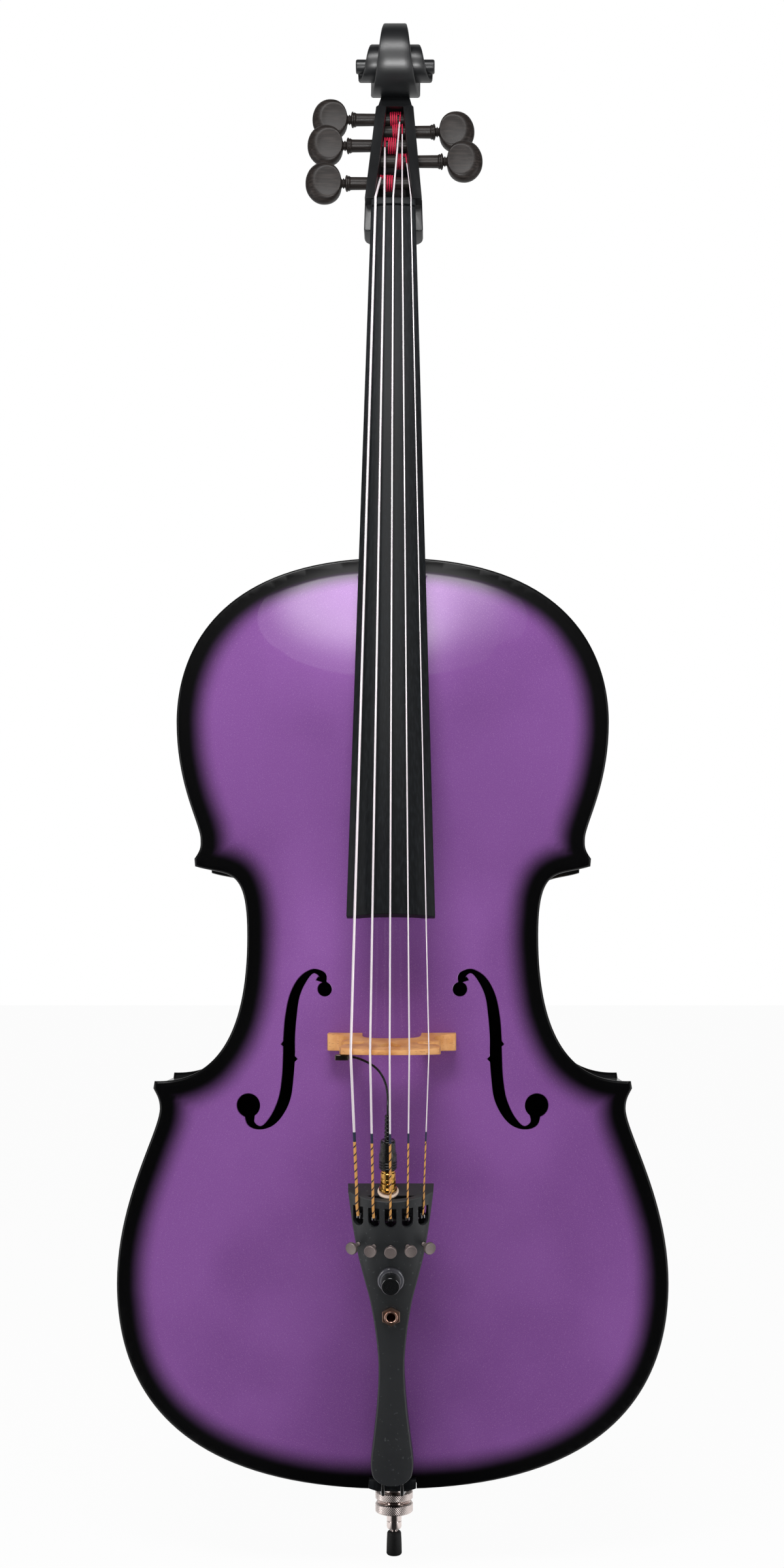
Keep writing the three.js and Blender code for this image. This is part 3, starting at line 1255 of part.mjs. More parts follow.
function endpinClamp() {
  const low = tipLength + rodNeckLength;
  const ring = low + sleeveLength;
  const top = ring + clampRingWidth;
  const bore = rodRadius + seatGap;
  const rim = clampRingWidth / 8;
  const cup = noseRadius + seatGap;
  const profile = [[bore, low], [0.85 * sleeveRadius, low], [sleeveRadius, low + overrun], [sleeveRadius, ring],
    [clampRingRadius - rim, ring], [clampRingRadius, ring + rim], [clampRingRadius, top - rim],
    [clampRingRadius - rim, top], [cup, top], [cup, top + clampGroove - noseLength - seatGap],
    [bore, top + clampGroove - noseLength - seatGap]];
  return turned([...profile, profile[0]]);
}

function endpinSocket() {
  const ringTop = socketBottom + socketRingWidth;
  const flange = ringTop + socketNeckLength;
  const seat = flange + socketFlangeWidth;
  const bore = rodRadius + seatGap;
  const rim = socketRingWidth / 8;
  const profile = [[bore, socketBottom - noseLength], [noseRadius, socketBottom - noseLength],
    [noseRadius, socketBottom], [clampRingRadius - rim, socketBottom], [clampRingRadius, socketBottom + rim],
    [clampRingRadius, ringTop - rim], [clampRingRadius - rim, ringTop], [socketNeckRadius, ringTop],
    [socketNeckRadius, flange], [socketFlangeRadius, flange], [socketFlangeRadius, seat],
    [socketPlugRadius, seat], [socketPlugRadius, seat + socketPlugLength], [bore, seat + socketPlugLength]];
  return turned([...profile, profile[0]]);
}

// Finishes

const finish = (color, roughness, metalness) => new THREE.MeshStandardMaterial({ color, roughness, metalness });
const purpleGloss = finish(0x87559b, 0.15, 0.3);
const blackGloss = finish(0x0a0a0c, 0.12, 0);
const blackSatin = finish(0x1a1b1d, 0.45, 0);
const ebony = finish(0x222224, 0.4, 0);
const maple = finish(0xc98a50, 0.55, 0);
const spruce = finish(0xd8b98a, 0.7, 0);
const steel = finish(0xb8b8bc, 0.25, 1);
const gold = finish(0xc79a4a, 0.25, 1);
const darkMetal = finish(0x5a5654, 0.35, 0.9);
const silkRed = finish(0xb01030, 0.6, 0);
const rubber = finish(0x111111, 0.8, 0);

// Assembly

const cello = new THREE.Group();
const body = new THREE.Group();
const neckGroup = new THREE.Group();
const head = new THREE.Group();
const tail = new THREE.Group();
body.position.z = bodyRise;
neckGroup.applyMatrix4(neckFrame);
head.applyMatrix4(headFrame);
tail.applyMatrix4(tailFrame);
cello.add(body);
body.add(neckGroup, tail);
neckGroup.add(head);

function add(group, name, geometry, material) {
  const mesh = new THREE.Mesh(geometry, material);
  mesh.name = name;
  mesh.geometry.computeVertexNormals();
  group.add(mesh);
  return mesh;
}

function addBody() {
  const rib = ribs();
  const wood = blocks();
  add(body, 'top_plate', topPlate(), purpleGloss);
  add(body, 'back_plate', backPlate(), blackGloss);
  for (const [name, piece] of Object.entries(rib)) {
    add(body, `rib_${name}_right`, piece, blackGloss);
    add(body, `rib_${name}_left`, mirrorX(piece), blackGloss);
  }
  add(body, 'top_block', wood.top, spruce);
  add(body, 'bottom_block', wood.bottom, spruce);
  for (const name of ['lower', 'upper']) {
    add(body, `corner_block_${name}_right`, wood[name], spruce);
    add(body, `corner_block_${name}_left`, mirrorX(wood[name]), spruce);
  }
  add(body, 'bass_bar', bassBar(), spruce);
  add(body, 'sound_post', soundPost(), spruce);
  add(body, 'saddle', saddleShape(0), ebony);
  add(body, 'bridge', bridge(), maple);
  add(body, 'pickup', pickup(), darkMetal);
  add(body, 'pickup_lead', pickupLead(), rubber);
  add(body, 'tail_gut', tailGut(), rubber);
  for (let i = 0; i < 5; i += 1) add(body, `string_${i + 1}`, string(i), steel);
}

function addNeck() {
  const inHead = [pegboxBlank(), scroll()].map((g) => framed(g, headFrame));
  const cutters = [pegboxCavity(), ...pegTable.map(pegBore)].map((g) => framed(g, headFrame));
  add(neckGroup, 'neck', cut(joined(neckShaft(), neckRoot(0), chin(), ...inHead), ...cutters), blackSatin);
  add(neckGroup, 'fingerboard', fingerboard(), ebony);
  add(neckGroup, 'nut', nut(), ebony);
}

function addPegs() {
  pegTable.forEach((entry, i) => {
    const piece = add(head, entry.name, peg(entry), ebony);
    piece.position.set(0, pegAxisDepth, pegHeight(entry));
    piece.rotation.set(headLean, 0, entry.side < 0 ? Math.PI : 0);
    add(head, `${entry.name}_winding`, winding(i), silkRed);
  });
}

function addTail() {
  add(tail, 'tailpiece', tailpiece(), blackSatin);
  for (let i = 0; i < 5; i += 1) {
    add(tail, `tuner_lever_${i + 1}`, tunerLever(), darkMetal).applyMatrix4(tunerFrame(i));
    add(tail, `tuner_screw_${i + 1}`, tunerScrew(), darkMetal).applyMatrix4(tunerFrame(i));
  }
  add(tail, 'volume_knob', volumeKnob(), blackGloss);
  add(tail, 'volume_pot', volumePot(), darkMetal);
  add(tail, 'output_jack', outputJack(), gold);
  add(tail, 'input_jack', inputJack(), gold);
  add(tail, 'plug_shell', plugShell(), gold);
  add(tail, 'plug_body', plugBody(), rubber);
}

function addEndpin() {
  add(cello, 'endpin_tip', endpinTip(), rubber);
  add(cello, 'endpin_rod', endpinRod(), steel);
  add(cello, 'endpin_clamp', endpinClamp(), steel);
  add(cello, 'endpin_socket', endpinSocket(), steel);
}

addBody();
addNeck();
addPegs();
addTail();
addEndpin();

export default cello;
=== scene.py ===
import math

import bmesh
import bpy
import numpy as np
from bmesh.types import BMEdge, BMVert
from mathutils import Matrix, Vector


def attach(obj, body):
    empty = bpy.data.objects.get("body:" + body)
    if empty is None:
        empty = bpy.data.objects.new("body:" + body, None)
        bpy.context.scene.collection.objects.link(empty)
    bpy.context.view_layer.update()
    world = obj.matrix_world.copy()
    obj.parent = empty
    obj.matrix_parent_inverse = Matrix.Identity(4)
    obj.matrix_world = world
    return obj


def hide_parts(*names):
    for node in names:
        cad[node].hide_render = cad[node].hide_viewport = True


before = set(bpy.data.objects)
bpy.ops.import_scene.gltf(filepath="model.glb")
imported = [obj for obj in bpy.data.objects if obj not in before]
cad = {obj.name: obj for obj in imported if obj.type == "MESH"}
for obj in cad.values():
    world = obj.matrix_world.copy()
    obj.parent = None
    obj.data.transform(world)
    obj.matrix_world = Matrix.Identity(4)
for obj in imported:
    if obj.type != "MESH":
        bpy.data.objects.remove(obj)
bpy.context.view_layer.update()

# All sizes are in millimetres in the frame of the body, the neck, the head or the tailpiece.
body_length = 755
lower_half, waist_half, upper_half = 223.7, 118, 175.3
lower_corner, lower_flank = 0.8677 * lower_half, 0.8444 * lower_half
upper_corner, upper_flank = 0.9173 * upper_half, 0.8888 * upper_half
rib_half, edge_half, edge_overhang, rib_thickness = 59, 63.5, 4, 2
arch_height, outer_margin, inner_margin = 25, 6, 14
arch_fullness, arch_squareness = 0.85, 3.2
seat_gap = 0.3
body_rise = 72
socket_radius, button_radius = 12, 17

neck_lean, head_lean = math.radians(10.6), math.radians(32)
neck_length, board_overlap, neck_rise = 300, 296, 31
nut_half, board_end_half, board_radius, board_side = 18.3, 34.3, 65, 8
nut_length, nut_rise = 5.7, 1.7

bridge_place = 0.4755 * body_length
string_lift = 7.9
bridge_height = neck_rise + (body_length - bridge_place) * math.tan(neck_lean) + string_lift
bridge_span, bridge_crown_half, bridge_crown_radius = 102, 38.7, 70
bridge_crown_thick, bridge_foot_reach = 3.6, 11.8

after_length, tail_end_place = 108.5, 9
tail_place = bridge_place - after_length
tail_rise, tail_end_rise, tail_radius, tail_half = 88, 23.3, 52, 33.3
tail_length = math.hypot(tail_place - tail_end_place, tail_rise - tail_end_rise)
tail_lean = math.asin((tail_rise - tail_end_rise) / tail_length)

string_shares = [-0.5, -0.25, 0, 0.25, 0.5]
string_diameters = [2, 1.7, 1.4, 1.15, 0.9]
silk_diameters = [1.4, 1.3, 1.2, 1.1, 1]
spread_at_nut, spread_at_bridge = 29.2, 59


def turned_by(x, y, z, angle):
    return Matrix.Translation((x, y, z)) @ Matrix.Rotation(angle, 4, "X")


in_body = Matrix.Translation((0, 0, body_rise))
in_neck = in_body @ turned_by(0, -edge_half - neck_rise, body_length, -neck_lean)
head_start = neck_length + nut_length + 2 * seat_gap
in_head = in_neck @ turned_by(0, seat_gap, head_start, neck_lean - head_lean)
in_tail = in_body @ turned_by(0, -edge_half - tail_rise, tail_place, tail_lean)
to_metres = Matrix.Scale(0.001, 4)


# Lines and numbers

def mix(a, b, share):
    return a + (b - a) * share


def ramp(value, low, high, start, end):
    return mix(start, end, (value - low) / (high - low))


def read_off(rows, place):
    return float(np.interp(place, [row[0] for row in rows], [row[1] for row in rows]))


def crown_drop(x, radius):
    return radius - math.sqrt(radius ** 2 - x ** 2)


def through(points, steps):
    """A smooth line through points, with a number of steps between each two."""
    rows = [Vector(p) for p in points]
    rows = [rows[0] * 2 - rows[1], *rows, rows[-1] * 2 - rows[-2]]
    line = []
    for k in range(len(rows) - 3):
        p0, p1, p2, p3 = rows[k:k + 4]
        d0, d1, d2 = [max((b - a).length, 1e-6) ** 0.5 for a, b in ((p0, p1), (p1, p2), (p2, p3))]
        m1 = ((p1 - p0) / d0 - (p2 - p0) / (d0 + d1) + (p2 - p1) / d1) * d1
        m2 = ((p2 - p1) / d1 - (p3 - p1) / (d1 + d2) + (p3 - p2) / d2) * d1
        squared, cubed = p2 * 3 - p1 * 3 - m1 * 2 - m2, p1 * 2 - p2 * 2 + m1 + m2
        for i in range(steps):
            t = i / steps
            line.append(p1 + m1 * t + squared * t ** 2 + cubed * t ** 3)
    return [*line, rows[-2].copy()]


def eased(profile, ease):
    """Rounds the corners of an open profile."""
    rows = [Vector(p) for p in profile]
    line = [rows[0]]
    for before, corner, after in zip(rows, rows[1:], rows[2:]):
        a, b = before - corner, after - corner
        if min(a.length, b.length) < 1e-5 or a.angle(b) > math.radians(155):
            line.append(corner)
            continue
        reach = min(ease, 0.45 * a.length, 0.45 * b.length)
        start, end = corner + a.normalized() * reach, corner + b.normalized() * reach
        for t in (0, 0.3, 0.7, 1):
            line.append(start * (1 - t) ** 2 + corner * (2 * t * (1 - t)) + end * t ** 2)
    return [*line, rows[-1]]


# Shaping

def blank():
    bm = bmesh.new()
    bm.verts.layers.int.new("order")
    bm.verts.layers.float_vector.new("lay")
    return bm


def note_lay(bm):
    """Keeps each point's place in the piece's own frame, for patterns that follow it."""
    lay = bm.verts.layers.float_vector["lay"]
    for vert in bm.verts:
        vert[lay] = vert.co
    return bm


def all_of(bm):
    return bm.verts[:] + bm.edges[:] + bm.faces[:]


def outward(bm):
    bmesh.ops.remove_doubles(bm, verts=bm.verts, dist=1e-4)
    bmesh.ops.recalc_face_normals(bm, faces=bm.faces)
    return bm


def placed(bm, *frames):
    for matrix in frames:
        bmesh.ops.transform(bm, matrix=matrix, verts=bm.verts)
    return bm


def grown(bm, edges):
    """Extrudes a line of edges, and gives the new points and the new line."""
    geom = bmesh.ops.extrude_edge_only(bm, edges=edges)["geom"]
    fresh = {g for g in geom if isinstance(g, BMVert)}
    return fresh, [g for g in geom if isinstance(g, BMEdge) and g.verts[0] in fresh and g.verts[1] in fresh]


def loft(rings, closed=True, along=None):
    """Draws the first ring, extrudes it through the others and closes the two ends."""
    bm = blank()
    order, lay = bm.verts.layers.int["order"], bm.verts.layers.float_vector["lay"]
    verts = [bm.verts.new(p) for p in rings[0]]
    for k, vert in enumerate(verts):
        vert[order] = k
    pairs = list(zip(verts, verts[1:])) + ([(verts[-1], verts[0])] if closed else [])
    edges = first = [bm.edges.new(pair) for pair in pairs]
    turn = 2 * math.pi / len(verts)
    for r, ring in enumerate(rings):
        if r:
            verts, edges = grown(bm, edges)
        for vert in verts:
            k = vert[order]
            vert.co = ring[k]
            if along:
                vert[lay] = (math.cos(turn * k), math.sin(turn * k), along[r])
    if closed:
        for loop in (first, edges):
            bmesh.ops.contextual_create(bm, geom=loop)
    return outward(bm)


def sweep(points, radii, sides=12):
    """A round rod along points, with one radius or one for each point."""
    points = [Vector(p) for p in points]
    side, rings, along, run = None, [], [], 0
    for i, point in enumerate(points):
        tangent = (points[min(i + 1, len(points) - 1)] - points[max(i - 1, 0)]).normalized()
        if side is None:
            side = Vector((1, 0, 0)) if abs(tangent.x) < abs(tangent.z) else Vector((0, 0, 1))
        side = (side - tangent * side.dot(tangent)).normalized()
        up = tangent.cross(side)
        size = radii[i] if isinstance(radii, (list, tuple)) else radii
        rings.append([point + side * (size * math.cos(k * 2 * math.pi / sides))
                      + up * (size * math.sin(k * 2 * math.pi / sides)) for k in range(sides)])
        run += (point - points[i - 1]).length if i else 0
        along.append(run)
    return loft(rings, along=along)


def turned(profile, sides=48, ease=0.3):
    """Spins a profile of radius and height about Z."""
    bm = blank()
    verts = [bm.verts.new((r, 0, z)) for r, z in eased(profile, ease)]
    edges = [bm.edges.new(pair) for pair in zip(verts, verts[1:])]
    bmesh.ops.spin(bm, geom=verts + edges, cent=(0, 0, 0), axis=(0, 0, 1), dvec=(0, 0, 0),
                   angle=2 * math.pi, steps=sides, use_merge=True)
    return note_lay(outward(bm))


def rod(radius, low, high, sides=48, ease=0):
    """A round bar about Z, between two heights."""
    return turned([(0, low), (radius, low), (radius, high), (0, high)], sides, ease)


to_x = Matrix.Rotation(math.pi / 2, 4, "Y")
to_y = Matrix.Rotation(-math.pi / 2, 4, "X")
flip_z = Matrix.Rotation(math.pi, 4, "Z")


def prism(outline, low, high, plane="xz"):
    """Extrudes a flat outline between two distances from its plane."""
    place = {"xz": lambda a, b, c: (a, c, b),
             "yz": lambda a, b, c: (c, a, b),
             "xy": lambda a, b, c: (a, b, c)}[plane]
    bm = blank()
    face = bm.faces.new([bm.verts.new(place(a, b, low)) for a, b in outline])
    geom = bmesh.ops.extrude_face_region(bm, geom=[face])["geom"]
    bmesh.ops.translate(bm, verts=[g for g in geom if isinstance(g, BMVert)],
                        vec=Vector(place(0, 0, high)) - Vector(place(0, 0, low)))
    return outward(bm)


def block(x0, x1, y0, y1, z0, z1):
    bm = blank()
    middle = Matrix.Translation(((x0 + x1) / 2, (y0 + y1) / 2, (z0 + z1) / 2))
    bmesh.ops.create_cube(bm, size=1, matrix=middle @ Matrix.Diagonal((x1 - x0, y1 - y0, z1 - z0, 1)))
    return bm


def softened(bm, width, angle=40, segments=2, chosen=None):
    edges = [e for e in bm.edges if len(e.link_faces) == 2 and e.calc_face_angle(0) > math.radians(angle)
             and (chosen is None or chosen(e))]
    bmesh.ops.bevel(bm, geom=edges, offset=width, offset_type="OFFSET", segments=segments, profile=0.5,
                    affect="EDGES", clamp_overlap=True, material=-1)
    return bm


def mesh_of(bm, name):
    mesh = bpy.data.meshes.new(name)
    bm.to_mesh(mesh)
    bm.free()
    return mesh


def linked(name, data):
    """An object in the scene that shows a mesh, a lamp or a camera."""
    piece = bpy.data.objects.new(name, data)
    bpy.context.scene.collection.objects.link(piece)
    return piece


def joined(*shapes):
    whole = blank()
    for shape in shapes:
        mesh = mesh_of(shape, "part")
        whole.from_mesh(mesh)
        bpy.data.meshes.remove(mesh)
    return whole


def carved(base, *tools, operation="DIFFERENCE"):
    """Cuts tools out of a blank, or joins them to it, and returns the result."""
    made = [linked("blank", mesh_of(shape, "blank")) for shape in (base, *tools)]
    for tool in made[1:]:
        cut = made[0].modifiers.new("cut", "BOOLEAN")
        cut.operation, cut.solver, cut.object = operation, "EXACT", tool
    graph = bpy.context.evaluated_depsgraph_get()
    mesh = bpy.data.meshes.new_from_object(made[0].evaluated_get(graph))
    bm = bmesh.new()
    bm.from_mesh(mesh)
    bpy.data.meshes.remove(mesh)
    for piece in made:
        old = piece.data
        bpy.data.objects.remove(piece)
        bpy.data.meshes.remove(old)
    for kind, name in ((bm.verts.layers.int, "order"), (bm.verts.layers.float_vector, "lay")):
        if name not in kind:
            kind.new(name)
    return bm


def mirrored(bm):
    bmesh.ops.scale(bm, vec=(-1, 1, 1), verts=bm.verts)
    bmesh.ops.reverse_faces(bm, faces=bm.faces)
    return bm


def finished(name, bm, finishes, rides="body", crease=35):
    """Makes a piece in metres, says what carries it, and puts it in place of the solid of its name."""
    mesh = mesh_of(placed(bm, to_metres), f"{name}_shown")
    mesh.shade_smooth()
    mesh.set_sharp_from_angle(angle=math.radians(crease))
    piece = linked(f"{name}_shown", mesh)
    for finish in finishes if isinstance(finishes, list) else [finishes]:
        mesh.materials.append(finish.material)
    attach(piece, rides)
    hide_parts(name)
    return piece


# Colours and shader maths

def tone(code):
    """A colour as it is seen, such as 8b599e, as linear light."""
    parts = [int(code[i:i + 2], 16) / 255 for i in (0, 2, 4)]
    return (*[p / 12.92 if p <= 0.04045 else ((p + 0.055) / 1.055) ** 2.4 for p in parts], 1)


class Field:
    """A value that changes over a surface. Arithmetic on it adds Math nodes."""

    def __init__(self, finish, socket):
        self.finish, self.socket = finish, socket

    def _math(self, operation, *values):
        return self.finish.node("ShaderNodeMath", {"operation": operation}, dict(enumerate(values)))

    def __add__(self, other):
        return self._math("ADD", self, other)

    def __sub__(self, other):
        return self._math("SUBTRACT", self, other)

    def __rsub__(self, other):
        return self._math("SUBTRACT", other, self)

    def __mul__(self, other):
        return self._math("MULTIPLY", self, other)

    def __truediv__(self, other):
        return self._math("DIVIDE", self, other)

    def larger(self, other):
        return self._math("MAXIMUM", self, other)

    def sine(self):
        return self._math("SINE", self)

    def cosine(self):
        return self._math("COSINE", self)

    def angle_from(self, other):
        return self._math("ARCTAN2", self, other)

    def root(self):
        return self._math("SQRT", self)

    def wave(self):
        """Its sine, from 0 to 1."""
        return (self.sine() + 1) * 0.5

    def off_axis(self, other):
        """The distance from one axis, from the distances along the two others."""
        return (self * self + other * other).root()

    def ease(self, low, high):
        return self.finish.node("ShaderNodeMapRange", {"interpolation_type": "SMOOTHSTEP"},
                                {"Value": self, "From Min": low, "From Max": high})

    __radd__ = __add__
    __rmul__ = __mul__


class Finish:
    """A material whose shader starts from the constants that it is given."""

    def __init__(self, name, **constants):
        self.material = bpy.data.materials.new(name)
        self.material.use_nodes = True
        self.tree = self.material.node_tree
        self.tree.nodes.clear()
        self.shader = self.tree.nodes.new("ShaderNodeBsdfPrincipled")
        self.output = self.tree.nodes.new("ShaderNodeOutputMaterial")
        self.show(Field(self, self.shader.outputs[0]))
        self.place = self.node("ShaderNodeTexCoord", out="Object")
        for key, value in constants.items():
            self.put({key.replace("_", " ").title().replace("Ior", "IOR"): value})

    @classmethod
    def of(cls, tree, output):
        """Nodes for the world's tree or a lamp's, which end in an output of their own kind."""
        tree.nodes.clear()
        finish = cls.__new__(cls)
        finish.tree, finish.output = tree, tree.nodes.new(output)
        return finish

    def node(self, kind, settings=None, values=None, out=0):
        node = self.tree.nodes.new(kind)
        for key, value in (settings or {}).items():
            setattr(node, key, value)
        for key, value in (values or {}).items():
            self.feed(node.inputs[key], value)
        return Field(self, node.outputs[out])

    def feed(self, socket, value):
        if isinstance(value, Field):
            self.tree.links.new(value.socket, socket)
        else:
            socket.default_value = value

    def show(self, shader):
        self.feed(self.output.inputs["Surface"], shader)

    def put(self, values):
        for name, value in values.items():
            self.feed(self.shader.inputs[name], value)

    def surface(self, colour, rough):
        self.put({"Base Color": colour, "Roughness": rough})

    def noise(self, scale, stretch=(1, 1, 1), detail=3):
        """Noise with a number of grains to the metre, stretched by shares along each axis."""
        place = self.node("ShaderNodeVectorMath", {"operation": "MULTIPLY"}, {0: self.place, 1: stretch})
        return self.node("ShaderNodeTexNoise", None, {"Vector": place, "Scale": scale, "Detail": detail})

    def kept(self, name):
        """A vector kept on the piece's points, split in three."""
        return self.axes(self.node("ShaderNodeAttribute", {"attribute_name": name}, out="Vector"))

    def kept_value(self, name):
        return self.node("ShaderNodeAttribute", {"attribute_name": name}, out="Fac")

    def blend(self, share, first, second):
        """A colour that goes from the first to the second, each a field or a code for tone."""
        first, second = [tone(colour) if isinstance(colour, str) else colour for colour in (first, second)]
        return self.node("ShaderNodeMix", {"data_type": "RGBA"}, {0: share, 6: first, 7: second}, out=2)

    def axes(self, vector):
        return [self.node("ShaderNodeSeparateXYZ", None, {0: vector}, out=k) for k in range(3)]

    def rays(self):
        """Whether it is the camera that sees the surface, or gloss, or glass."""
        return [self.node("ShaderNodeLightPath", out=name)
                for name in ("Is Camera Ray", "Is Glossy Ray", "Is Transmission Ray")]

    def mixed(self, share, first, second):
        """A number that goes from the first value to the second."""
        return self.node("ShaderNodeMix", {"data_type": "FLOAT"}, {0: share, 2: first, 3: second})

    def bump(self, height, depth, strength):
        """Relief whose full height is a depth in millimetres."""
        self.put({"Normal": self.node("ShaderNodeBump", None, {
            "Height": height, "Distance": depth * 0.001, "Strength": strength}, out="Normal")})


# Camera, at the photograph's place in front of the cello

camera = linked("camera", bpy.data.cameras.new("camera"))
camera.data.sensor_width = 36
camera.data.lens = 44.575
camera.data.shift_x, camera.data.shift_y = -0.025, 0.1125
camera.location = (0.0312, -1.6355, 0.5005)
camera.rotation_euler = (math.pi / 2, 0, 0)
bpy.context.scene.camera = camera

# The finishes

def burst_lacquer():
    """Metallic purple under clear gloss, sprayed black towards the plate's edge."""
    f = Finish("lacquer_purple", metallic=0.25, coat_roughness=0.02, coat_ior=1.7, specular_ior_level=0.2)
    black_width, fade_width, narrower_above = 9.5, 22, 10
    cloud = f.noise(9, detail=2)
    flakes = f.noise(2600, detail=0)
    above = f.node("ShaderNodeSeparateXYZ", None, {0: f.place}, out=2).ease(0.72, 0.86)
    uneven = (f.noise(25, detail=2) - 0.5) * 2
    edge = (f.kept_value("rim") + uneven - black_width) / (fade_width - above * narrower_above)
    purple = f.blend(cloud.ease(0.35, 0.65), "85509a", "9059a6")
    purple = f.blend(flakes.ease(0.6, 0.8) * 0.5, purple, "b98ccb")
    f.surface(f.blend(edge.ease(0, 1), "030304", purple), 0.42 - flakes * 0.14)
    f.put({"Coat Weight": edge.ease(0.16, 0.28) * 0.9 + 0.1})
    f.bump(flakes, 0.02, 0.3)
    return f


def black_lacquer():
    f = Finish("lacquer_black", coat_weight=1.0, coat_roughness=0.03, coat_ior=1.6, specular_ior_level=0.2)
    cloud = f.noise(14, detail=2)
    f.surface(f.blend(cloud, "030304", "070708"), 0.25 + cloud * 0.1)
    f.bump(f.noise(60, detail=1), 0.02, 0.3)
    return f


def satin_black():
    f = Finish("satin_black")
    cloud, grain = f.noise(30, detail=3), f.noise(900, detail=2)
    f.surface(f.blend(cloud, "0b0c0d", "141517"), 0.28 + grain * 0.12 + cloud * 0.06)
    f.bump(grain, 0.02, 0.5)
    return f


def ebony(name, dark, light, stretch=(1, 1, 0.05), rough=0.42):
    f = Finish(name, specular_ior_level=0.15)
    grain = f.noise(700, stretch=stretch, detail=4)
    cloud = f.noise(20, detail=2)
    f.surface(f.blend(grain.ease(0.4, 0.7) * 0.7 + cloud * 0.3, dark, light), rough + grain * 0.15)
    f.bump(grain, 0.03, 0.4)
    return f


def maple():
    f = Finish("maple", coat_weight=0.1, coat_roughness=0.3)
    band = f.noise(90, stretch=(1, 0.35, 1), detail=3)
    flecks = f.noise(900, stretch=(0.15, 1, 1), detail=1)
    wood = f.blend(band.ease(0.3, 0.7), "cb8848", "dfa468")
    f.surface(f.blend(flecks.ease(0.6, 0.75) * 0.6, wood, "9c6236"), 0.5 + band * 0.12)
    f.bump(flecks, 0.05, 0.4)
    return f


def spruce():
    f = Finish("spruce")
    rings = f.noise(420, stretch=(1, 1, 0.02), detail=2)
    f.surface(f.blend(rings.ease(0.35, 0.65), "c49f6c", "e0c398"), 0.62 + rings * 0.15)
    f.bump(rings, 0.1, 0.4)
    return f


def metal(name, dark, light, rough):
    f = Finish(name, metallic=1.0)
    cloud, scratches = f.noise(160, detail=3), f.noise(1400, stretch=(1, 1, 0.08), detail=2)
    f.surface(f.blend(cloud, dark, light), rough + (cloud + scratches) * 0.06)
    f.bump(scratches, 0.01, 0.3)
    return f


def brushed_nickel():
    """Dark nickel, brushed in rings about the screw's own axis."""
    f = Finish("dark_nickel", metallic=0.6)
    x, y, _ = f.kept("lay")
    ring = (x.off_axis(y) * 9).wave()
    cloud = f.noise(300, detail=2)
    f.surface(f.blend(ring * 0.6 + cloud * 0.4, "6a5f5d", "968b88"), 0.45 + ring * 0.12)
    f.bump(ring, 0.03, 0.5)
    return f


def silk(name, colour, dark, spiral=None):
    """Thread laid round a string; with a spiral, a dark thread shows at its pitch."""
    f = Finish(name)
    c, s, along = f.kept("lay")
    thread = (along * 18).wave()
    base = f.blend(thread, dark, colour)
    if spiral:
        turn = along * (2 * math.pi / spiral)
        base = f.blend((c * turn.cosine() + s * turn.sine()).ease(0.68, 0.84), base, "1c1020")
    f.surface(base, 0.5 + thread * 0.15)
    f.bump(thread, 0.08, 0.6)
    return f


def wound_string():
    f = Finish("string_metal", metallic=0.3)
    wire = (f.kept("lay")[2] * 12).wave()
    f.surface(f.blend(wire, "e2d6dc", "fbf3f7"), 0.26 + wire * 0.1)
    f.bump(wire, 0.03, 0.4)
    return f


def rubber(name, dark, light, rough):
    f = Finish(name)
    grain = f.noise(1500, detail=2)
    f.surface(f.blend(f.noise(120, detail=2), dark, light), rough + grain * 0.15)
    f.bump(grain, 0.03, 0.5)
    return f


def composite():
    """The tailpiece's moulded black, satin with fine pale specks."""
    f = Finish("satin_composite")
    grain, specks = f.noise(700, detail=2), f.noise(500, detail=0)
    base = f.blend(f.noise(25, detail=2), "222426", "2d2f31")
    f.surface(f.blend(specks.ease(0.76, 0.8) * 0.35, base, "5a5f61"), 0.4 + grain * 0.12)
    f.bump(grain, 0.03, 0.4)
    return f


def knob_plastic():
    """Black gloss turned in rings, with a paler line round the cap's edge."""
    f = Finish("black_gloss_plastic", coat_weight=0.6, coat_roughness=0.06)
    x, y, _ = f.kept("lay")
    radius = x.off_axis(y)
    ring = (radius * 6).wave()
    base = f.blend(radius.ease(7.4, 7.8), f.blend(ring, "0b0c0d", "141517"), "4a4a50")
    f.surface(base, 0.2 + ring * 0.08)
    f.bump(f.noise(400, detail=1), 0.01, 0.3)
    return f


def knurled_nickel():
    """Polished nickel; the wide rings carry a slanted knurl about the endpin's axis."""
    f = Finish("polished_nickel", metallic=1.0)
    x, y, z = f.kept("lay")
    turn = y.angle_from(x)
    knurl = (turn * 60 + z * 3.2).wave()
    outer = x.off_axis(y).ease(15.5, 15.7)
    cloud = f.noise(200, detail=3)
    f.surface(f.blend(cloud, "c9bbb6", "ece0dc"), 0.12 + cloud * 0.08 + knurl * outer * 0.25)
    f.bump(knurl * outer, 0.25, 0.8)
    return f


purple = burst_lacquer()
black = black_lacquer()
satin = satin_black()
board_ebony = ebony("ebony", "0d0f11", "1b1e21")
peg_ebony = ebony("peg_ebony", "191615", "2e2927", stretch=(0.1, 1, 1), rough=0.3)
bridge_maple = maple()
bare_spruce = spruce()
nickel = knurled_nickel()
gold = metal("gold", "b98436", "e0b465", 0.16)
rose_gold = metal("rose_gold", "c4957f", "f0cdbb", 0.26)
steel = metal("plain_steel", "7d7c7e", "a9a8aa", 0.28)
pickup_metal = metal("pickup_metal", "3a3530", "6d655c", 0.25)
tuner_nickel = brushed_nickel()
string_metal = wound_string()
red_silk = silk("red_silk", "d31542", "8c0c2c")
navy_silk = silk("navy_silk", "1d2b4c", "0e1730")
amber_silk = silk("amber_silk", "e6ad62", "c4863c", spiral=6.5)
tip_rubber = rubber("black_rubber", "060606", "0d0d0d", 0.6)
